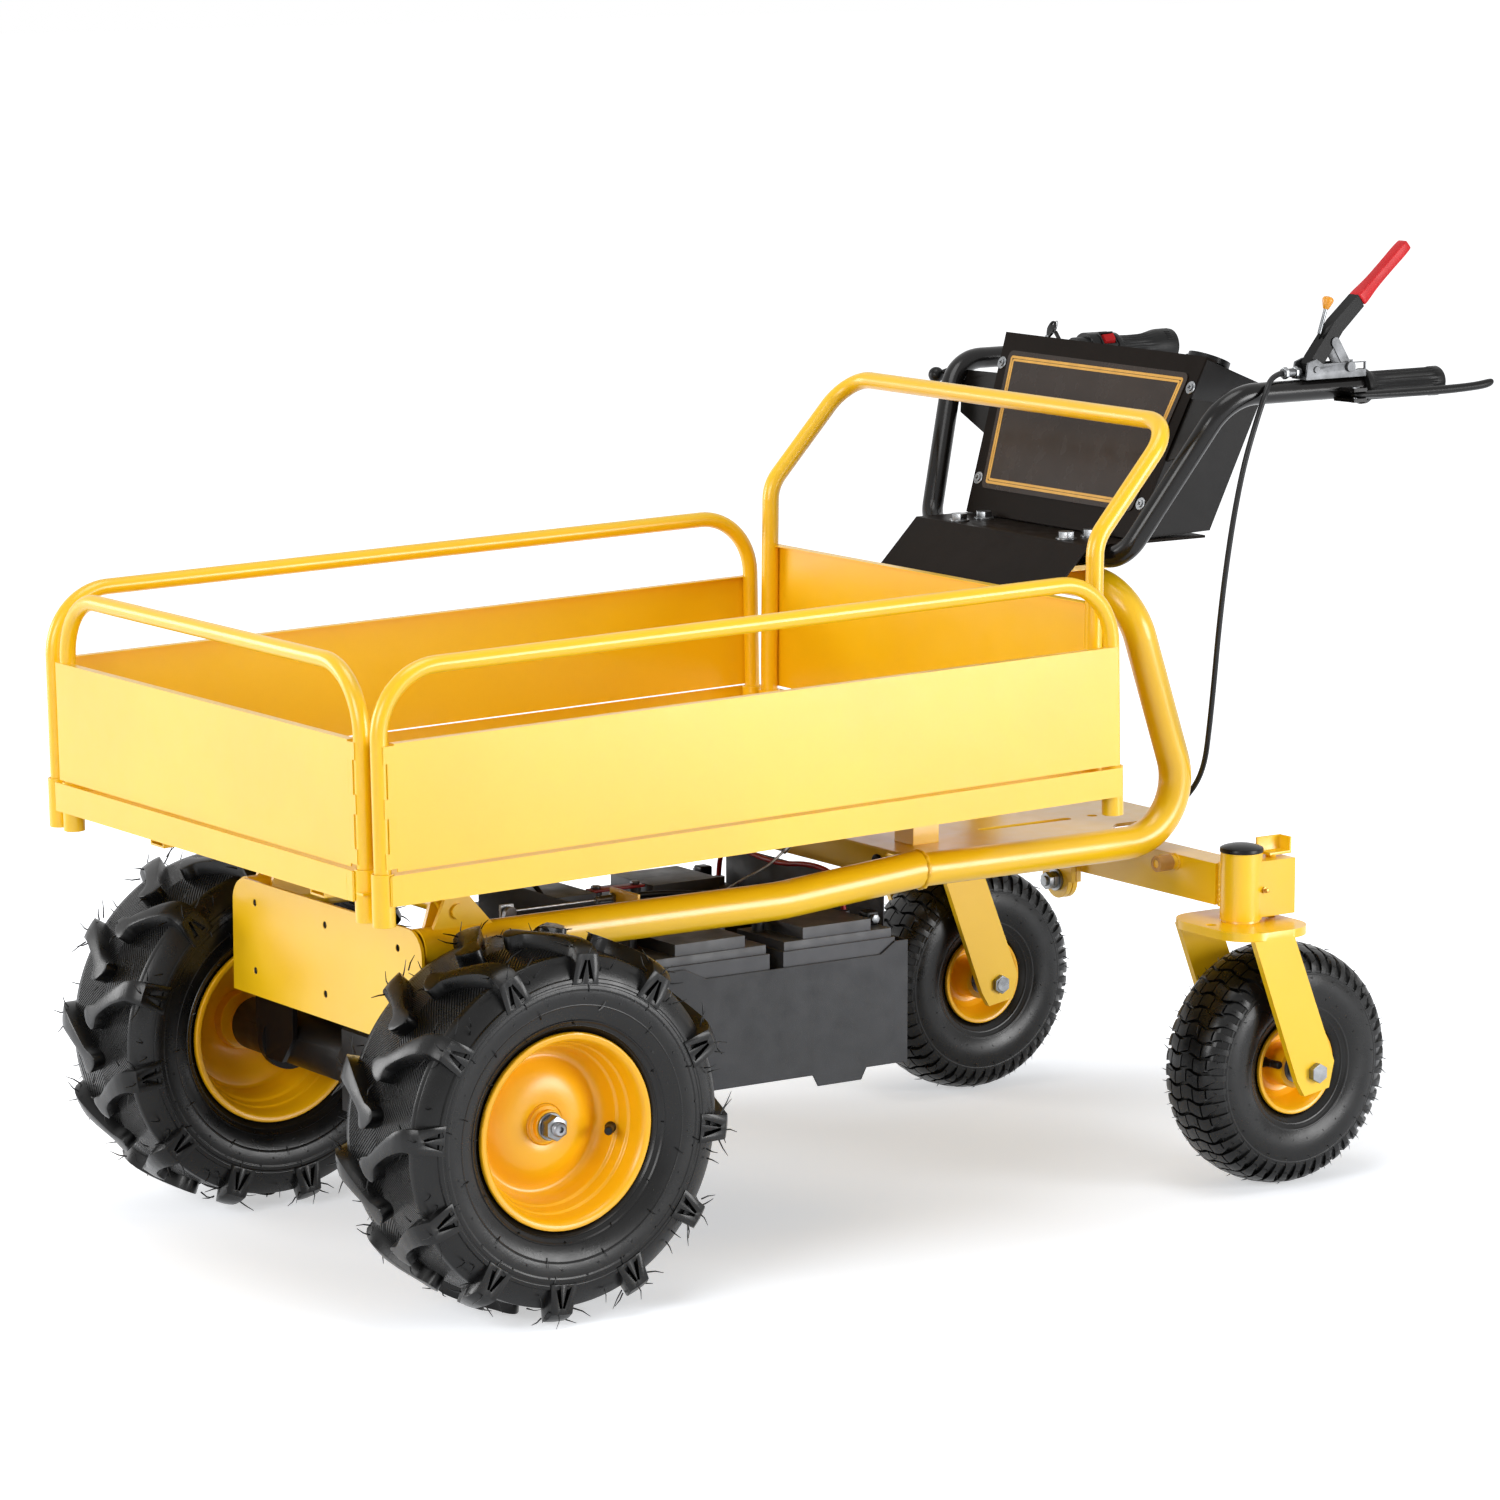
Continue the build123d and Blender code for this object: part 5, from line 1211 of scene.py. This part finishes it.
label = {"low": 31.0, "high": 200.0, "halfLow": 142.0, "halfHigh": 170.0, "top": 4.1,
         "corner": 3.6, "lines": [("labelLineOuter", 6.2, 3.1), ("labelLineInner", 9.9, 2.8)]}
slope = (label["halfHigh"] - label["halfLow"]) / (label["high"] - label["low"])
for name, inset, wide in label["lines"]:
    low, high = label["low"] + inset, label["high"] - inset
    side = inset * math.hypot(1, slope)
    halfLow = label["halfLow"] + slope * inset - side
    halfHigh = label["halfHigh"] - slope * inset - side
    line = newMesh("plane", name, size=1)
    corners = ((-halfLow, low), (halfLow, low), (-halfHigh, high), (halfHigh, high))
    for vertex, (across, rise) in zip(line.data.vertices, corners):
        vertex.co = (across * mm, rise * mm, label["top"] * mm)
    editAll(line)
    bpy.ops.mesh.bevel(offset=label["corner"] * mm, segments=4, affect="VERTICES")
    bpy.ops.mesh.select_all(action="SELECT")
    bpy.ops.mesh.inset(thickness=wide * mm)
    bpy.ops.mesh.delete(type="FACE")
    bpy.ops.mesh.select_all(action="SELECT")
    bpy.ops.mesh.extrude_region_move(TRANSFORM_OT_translate={"value": (0, 0, 0.0002)})
    objectMode()
    placeMesh(line, facePlace)
    mendMesh(line)
    settle(line, "chassis", "amberInk")

faceScrew = {"spots": [(178, 183.7), (-178, 183.7), (154, 41.9), (-154, 41.9)], "washer": 7.6,
             "cross": (2.7, 0.7), "crossSpan": (4.9, 5.42)}
wide = faceScrew["washer"]
washerRing = [(2.75, 4.6), (2.75, wide - 0.3), (3.0, wide), (3.5, wide), (3.9, wide - 0.6), (3.9, 4.6)]
low, high = faceScrew["crossSpan"]
for i, (across, rise) in enumerate(faceScrew["spots"]):
    place = facePlace @ Matrix.Translation((across * mm, rise * mm, 0)) @ Matrix.Rotation(math.pi / 2, 4, "X")
    washer = spunRing(f"screwWasher{i}", washerRing, 28)
    smooth(washer, 32)
    placeMesh(washer, place)
    settle(washer, "chassis", "zincPlate")
    bars = [boxPiece("bar", (-a, low, -b), (a, high, b), 0.1, 1)
            for a, b in (faceScrew["cross"], faceScrew["cross"][::-1])]
    cross = joinPieces(bars, f"screwCross{i}")
    placeMesh(cross, place @ Matrix.Rotation(0.4 + i, 4, "Y"))
    settle(cross, "chassis", "satinBlack")

key = {"bowWide": 14.0, "bowTall": 22.0, "thick": 3.2, "middle": 17.4, "lean": -0.12, "narrowing": 0.45,
       "hole": 2.0, "holePlace": (-2.8, 0, 24.2), "ring": 7.5, "ringWire": 0.6,
       "ringPlace": (-9.4, 1.2, 20.8), "ringLean": -0.35, "tagPlace": (-12.8, 0.0, 14.2), "tagLean": 0.95,
       "tagFlare": 9.0}
keyPlace = frameMatrix(topPoint(40, 164, 4.3), Vector((0, 1, 0)), faceOut, faceUp)
quarterTurn = Matrix.Rotation(math.pi / 2, 4, "X")
bow = newMesh("cylinder", "keyBow", vertices=28, radius=key["bowWide"] / 2 * mm, depth=key["thick"] * mm,
              rotation=(math.pi / 2, 0, 0))
bpy.ops.object.transform_apply(location=True, rotation=True, scale=True)
for vertex in bow.data.vertices:
    vertex.co.z *= key["bowTall"] / key["bowWide"]
    if vertex.co.z < 0:
        vertex.co.x *= 1 + key["narrowing"] * vertex.co.z / (key["bowTall"] / 2 * mm)
placeMesh(bow, Matrix.Rotation(key["lean"], 4, "Y") @ Matrix.Translation((0, 0, key["middle"] * mm)))
hole = newMesh("cylinder", "hole", vertices=12, radius=key["hole"] * mm, depth=0.02,
               rotation=(math.pi / 2, 0, 0), location=Vector(key["holePlace"]) * mm)
bpy.ops.object.transform_apply(location=True, rotation=True, scale=True)
subtract(bow, hole)
bevelEdges(bow, 0.7, 2, 40)
smooth(bow, 32)
placeMesh(bow, keyPlace)
settle(bow, "ignition_key", "blackPlastic", "ignition_key")
keyStem = spunRing("keyStem", [(0, 0.01), (0, 3.9), (6, 3.9), (6.8, 3.2), (9.5, 3.2), (9.5, 0.01)], 20)
smooth(keyStem, 32)
placeMesh(keyStem, keyPlace @ quarterTurn)
settle(keyStem, "ignition_key", "zincPlate")
keyRing = newMesh("torus", "keyRing", major_radius=key["ring"] * mm, minor_radius=key["ringWire"] * mm,
                  major_segments=32, minor_segments=6)
placeMesh(keyRing, keyPlace @ Matrix.Translation(Vector(key["ringPlace"]) * mm)
          @ Matrix.Rotation(key["ringLean"], 4, "Z") @ quarterTurn)
smooth(keyRing, 60)
settle(keyRing, "ignition_key", "zincPlate")
tag = boxPiece("keyTag", (-2.6, -1.4, -23.0), (2.6, 1.4, 1.5), 1.2, 3)  # hangs from the ring
for vertex in tag.data.vertices:
    vertex.co.x *= 1 + key["tagFlare"] * vertex.co.z
placeMesh(tag, keyPlace @ Matrix.Translation(Vector(key["tagPlace"]) * mm) @ Matrix.Rotation(key["tagLean"],
                                                                                             4, "Y"))
settle(tag, "ignition_key", "blackPlastic")
print("console trim made")


# grips

def fluted(piece, axis, low, high, count, depth):  # lengthwise flutes on a sleeve about X
    y0, z0 = axis[0] * mm, axis[1] * mm
    for vertex in piece.data.vertices:
        if low * mm < vertex.co.x < high * mm:
            dy, dz = vertex.co.y - y0, vertex.co.z - z0
            radius = math.hypot(dy, dz)
            if radius > 0.0145:
                angle = math.atan2(dz, dy)
                scale = 1 - depth * mm * (0.5 + 0.5 * math.cos(count * angle)) / radius
                vertex.co.y = y0 + dy * scale
                vertex.co.z = z0 + dz * scale
    piece.data.update()


def gripSleeve(name, spec, body, node):
    y, z = spec["axis"]
    sleeve = spunRing(name, spec["profile"], 132)
    placeMesh(sleeve, along((spec["start"], y, z), (1, 0, 0)))
    fluted(sleeve, spec["axis"], *spec["span"], spec["flutes"], spec["depth"])
    smooth(sleeve, 36)
    settle(sleeve, body, "gripRubber", node)


leftGrip = {"axis": (-258.0, 905.0), "start": 597.0, "flutes": 22, "depth": 1.1, "span": (612.5, 700),
            "profile": [(0, 12.6), (0, 19.4), (1, 20.5), (6, 20.5), (8, 19.2), (10, 16.9), (13, 16.5),
                        (16, 16.5), (30, 16.5), (50, 16.5), (70, 16.5), (90, 16.5), (102, 16.5), (105, 17.0),
                        (115, 17.2), (117, 16.2), (117, 0.01), (109.3, 0.01), (109.3, 12.6)]}
gripSleeve("leftGripSleeve", leftGrip, "chassis", "left_grip")

throttle = {"axis": (258.0, 905.0), "start": 640.0, "flutes": 26, "depth": 0.9, "span": (653, 694),
            "profile": [(0, 12.6), (0, 19), (1, 20), (6, 20), (8, 18.6), (10, 16.5), (14, 16.2), (28, 15.9),
                        (42, 16.1), (50, 16.6), (58, 18.2), (66, 20.2), (72, 20.9), (88, 21), (92.5, 20.2),
                        (94, 18), (94, 0.01), (67.2, 0.01), (67.2, 12.6)],
            "ridges": {"x": 720.0, "half": (4.6, 0.8, 0.9), "radius": 20.7, "angles": (28, 36, 44, 52, 60)}}
y, z = throttle["axis"]
gripSleeve("throttleSleeve", throttle, "throttle_grip", "throttle_grip")
ridge = throttle["ridges"]
bars = []
for angle in ridge["angles"]:
    a = math.radians(angle)
    bar = boxPiece("bar", [-v for v in ridge["half"]], ridge["half"], 0.5)
    place = Vector((ridge["x"], y - ridge["radius"] * math.cos(a), z + ridge["radius"] * math.sin(a))) * mm
    placeMesh(bar, Matrix.Translation(place) @ Matrix.Rotation(math.pi / 2 - a, 4, "X"))
    bars.append(bar)
settle(joinPieces(bars, "throttleRidges"), "throttle_grip", "blackPlastic")
print("grips made")


# brake lever blade, parking grip, release knob

blade = {"path": [(563, -284, 899), (580, -286, 898.8), (606, -287.8, 898.4), (640, -289, 898),
                  (680, -289.8, 897.8), (715, -290.4, 898.2), (745, -290.8, 899.4), (762, -291, 901.2),
                  (772, -291, 903.6)],
         "wide": [8.5, 8.6, 7.0, 6.0, 5.4, 5.0, 4.8, 5.2, 4.0],
         "tall": [4.4, 4.8, 5.2, 5.4, 5.4, 5.2, 5.0, 5.4, 4.0]}
lever = newMesh("circle", "brakeBlade", vertices=14, radius=1, fill_type="NGON")
editAll(lever)
for step in range(len(blade["path"]) - 1):
    bpy.ops.mesh.extrude_region_move(TRANSFORM_OT_translate={"value": (0, 0, 1)})
objectMode()
for vertex in lever.data.vertices:
    i = round(vertex.co.z)
    x, y, z = blade["path"][i]
    vertex.co = (x * mm, (y + vertex.co.x * blade["wide"][i]) * mm, (z + vertex.co.y * blade["tall"][i]) * mm)
mendMesh(lever)
useModifier(lever, "SUBSURF", levels=2, render_levels=2)
smooth(lever, 50)
settle(lever, "brake_lever", "blackPlastic", "brake_lever")
pinProfile = [(0, 0.01), (0, 4.6), (1.2, 5), (2.4, 4.6), (2.6, 3), (15.8, 3), (15.8, 4.6), (17, 5), (18, 4.4),
              (18, 0.01)]
pivotPin = turnedPiece("brakePivotPin", pinProfile, (569, -284, 890), (0, 0, 1), 20)
settle(pivotPin, "brake_lever", "zincPlate")

parkGrip = {"start": (591.4, -258.0, 1004.4), "end": (662.0, -258.0, 1065.0), "wide": 18.6, "tall": 14.6,
            "waist": [(0, 1.12), (0.07, 1.1), (0.2, 0.93), (0.35, 0.87), (0.6, 0.86), (0.9, 0.9),
                      (1.0, 0.84)],
            "cornerCut": 0.16}
start, end = Vector(parkGrip["start"]), Vector(parkGrip["end"])
run = (end - start).normalized()
gripPlace = frameMatrix(start, Vector((0, 1, 0)), run.cross(Vector((0, 1, 0))), run)
length = (end - start).length
handle = newMesh("cube", "parkingSleeve", size=1)
placeMesh(handle, Matrix.Translation((0, 0, length / 2 * mm))
          @ Matrix.Diagonal((parkGrip["wide"] * mm, parkGrip["tall"] * mm, length * mm, 1)))
editAll(handle)
bpy.ops.mesh.subdivide(number_cuts=7)
objectMode()
for vertex in handle.data.vertices:
    share = vertex.co.z / (length * mm)
    squeeze = betweenStops(parkGrip["waist"], share)
    out = math.hypot(vertex.co.x / (parkGrip["wide"] / 2 * mm), vertex.co.y / (parkGrip["tall"] / 2 * mm))
    squeeze *= 1 - parkGrip["cornerCut"] * max(0.0, out - 1)
    vertex.co.x *= squeeze
    vertex.co.y *= squeeze
useModifier(handle, "SUBSURF", levels=2, render_levels=2)
smooth(handle, 50)
placeMesh(handle, gripPlace)
settle(handle, "parking_lever", "redPlastic", "parking_grip")

knob = {"low": (534.0, -258.0, 962.0), "high": (549.5, -258.0, 1010.0),
        "cap": [(-15.0, 0.01), (-15.0, 2.8), (-14, 3.6), (-9, 5.4), (-5.4, 6.6), (-3.2, 6.6), (-1.4, 5.6),
                (-0.3, 3.6), (0, 1.6), (0, 0.01)],
        "stem": [(-44.0, 0.01), (-44.0, 2.0), (-43.4, 2.4), (-14, 2.4), (-14, 0.01)]}
rise = (Vector(knob["high"]) - Vector(knob["low"])).normalized()
cap = turnedPiece("knobCap", knob["cap"], knob["high"], rise, 28)
settle(cap, "release_knob", "orangePlastic", "release_knob")
stem = turnedPiece("knobStem", knob["stem"], knob["high"], rise, 16)
settle(stem, "release_knob", "zincPlate")
for name, x in (("parkNutFront", 484.0), ("parkNutBack", 499.0)):
    nut = hexPiece(name, 12.5, 5.0, (x, -258.0, 926.0), (1, 0, 0), 0.6)
    settle(nut, "chassis", "zincPlate")
print("levers made")


# floor and light

studio = {
    "floorSize": 60.0, "floorColour": (0.755, 0.79, 0.845, 1.0), "skyLight": 0.22, "aim": (-0.05, 0.0, 0.45),
    # floor glow is weaker near the object, so the floor darkens towards it: painted shade around the object,
    # on top of its real shadow
    "floorGlowPaintedShade": (0.44, 1.0), "glowReach": (0.55, 1.45), "glowNarrow": 1.7,  # near and far, metres
    "lamps": [
        ("frontLamp", (-4.3, -1.9, 1.9), 2.2, 95.0),
        ("farLamp", (-3.4, 3.3, 1.3), 2.2, 90.0),
        ("nearLamp", (2.5, -4.3, 1.05), 2.3, 165.0),
        ("topLamp", (-0.4, -0.6, 4.2), 2.4, 60.0),
    ],
}
floor = newMesh("plane", "floor", size=studio["floorSize"])


def seenBackground(tree):  # camera, mirror and glass rays
    rays = addNode(tree, "LightPath")
    seen = rays.outputs["Is Camera Ray"]
    for kind in ("Is Glossy Ray", "Is Transmission Ray"):
        either = addNode(tree, "Math", operation="MAXIMUM")
        tree.links.new(seen, either.inputs[0])
        tree.links.new(rays.outputs[kind], either.inputs[1])
        seen = either.outputs[0]
    return seen


floorFinish = bpy.data.materials.new("floorWhite")
floorFinish.use_nodes = True
tree = floorFinish.node_tree
tree.nodes.remove(tree.nodes["Principled BSDF"])
matte = addNode(tree, "BsdfDiffuse", {"Color": studio["floorColour"]})
glow = addNode(tree, "Emission")
scaleGlow = addNode(tree, "Math", operation="MULTIPLY")
spot = addNode(tree, "TexCoord")
narrow = addNode(tree, "VectorMath", {1: (1.0, studio["glowNarrow"], 1.0)}, operation="MULTIPLY")
reach = addNode(tree, "VectorMath", operation="LENGTH")
fadeSpan = zip(("From Min", "From Max", "To Min", "To Max"), studio["glowReach"] + studio["floorGlowPaintedShade"])
# glow falls off near the object: painted shade on the floor
paintedShadeFade = addNode(tree, "MapRange", dict(fadeSpan), interpolation_type="SMOOTHSTEP")
both = addNode(tree, "AddShader")
for source, target in (
    (spot.outputs["Object"], narrow.inputs[0]), (narrow.outputs["Vector"], reach.inputs[0]),
    (reach.outputs["Value"], paintedShadeFade.inputs["Value"]), (paintedShadeFade.outputs["Result"], scaleGlow.inputs[1]),
    (seenBackground(tree), scaleGlow.inputs[0]), (scaleGlow.outputs[0], glow.inputs["Strength"]),
    (matte.outputs[0], both.inputs[0]), (glow.outputs[0], both.inputs[1]),
    (both.outputs[0], tree.nodes["Material Output"].inputs["Surface"]),
):
    tree.links.new(source, target)
wear(floor, floorFinish)

world = bpy.data.worlds.new("studio")
bpy.context.scene.world = world
world.use_nodes = True
sky = world.node_tree
backdrop = sky.nodes["Background"]
backdrop.inputs["Color"].default_value = (1, 1, 1, 1)
level = addNode(sky, "MapRange", {"To Min": studio["skyLight"], "To Max": 1.0})
sky.links.new(seenBackground(sky), level.inputs["Value"])
sky.links.new(level.outputs["Result"], backdrop.inputs["Strength"])

for name, place, size, power in studio["lamps"]:
    clearSelection()
    bpy.ops.object.light_add(type="AREA", location=place)
    lamp = bpy.context.object
    lamp.name = name
    lamp.data.shape = "DISK"
    lamp.data.size = size
    lamp.data.energy = power
    lamp.rotation_euler = (Vector(studio["aim"]) - Vector(place)).to_track_quat("-Z", "Y").to_euler()
print("floor and light set")
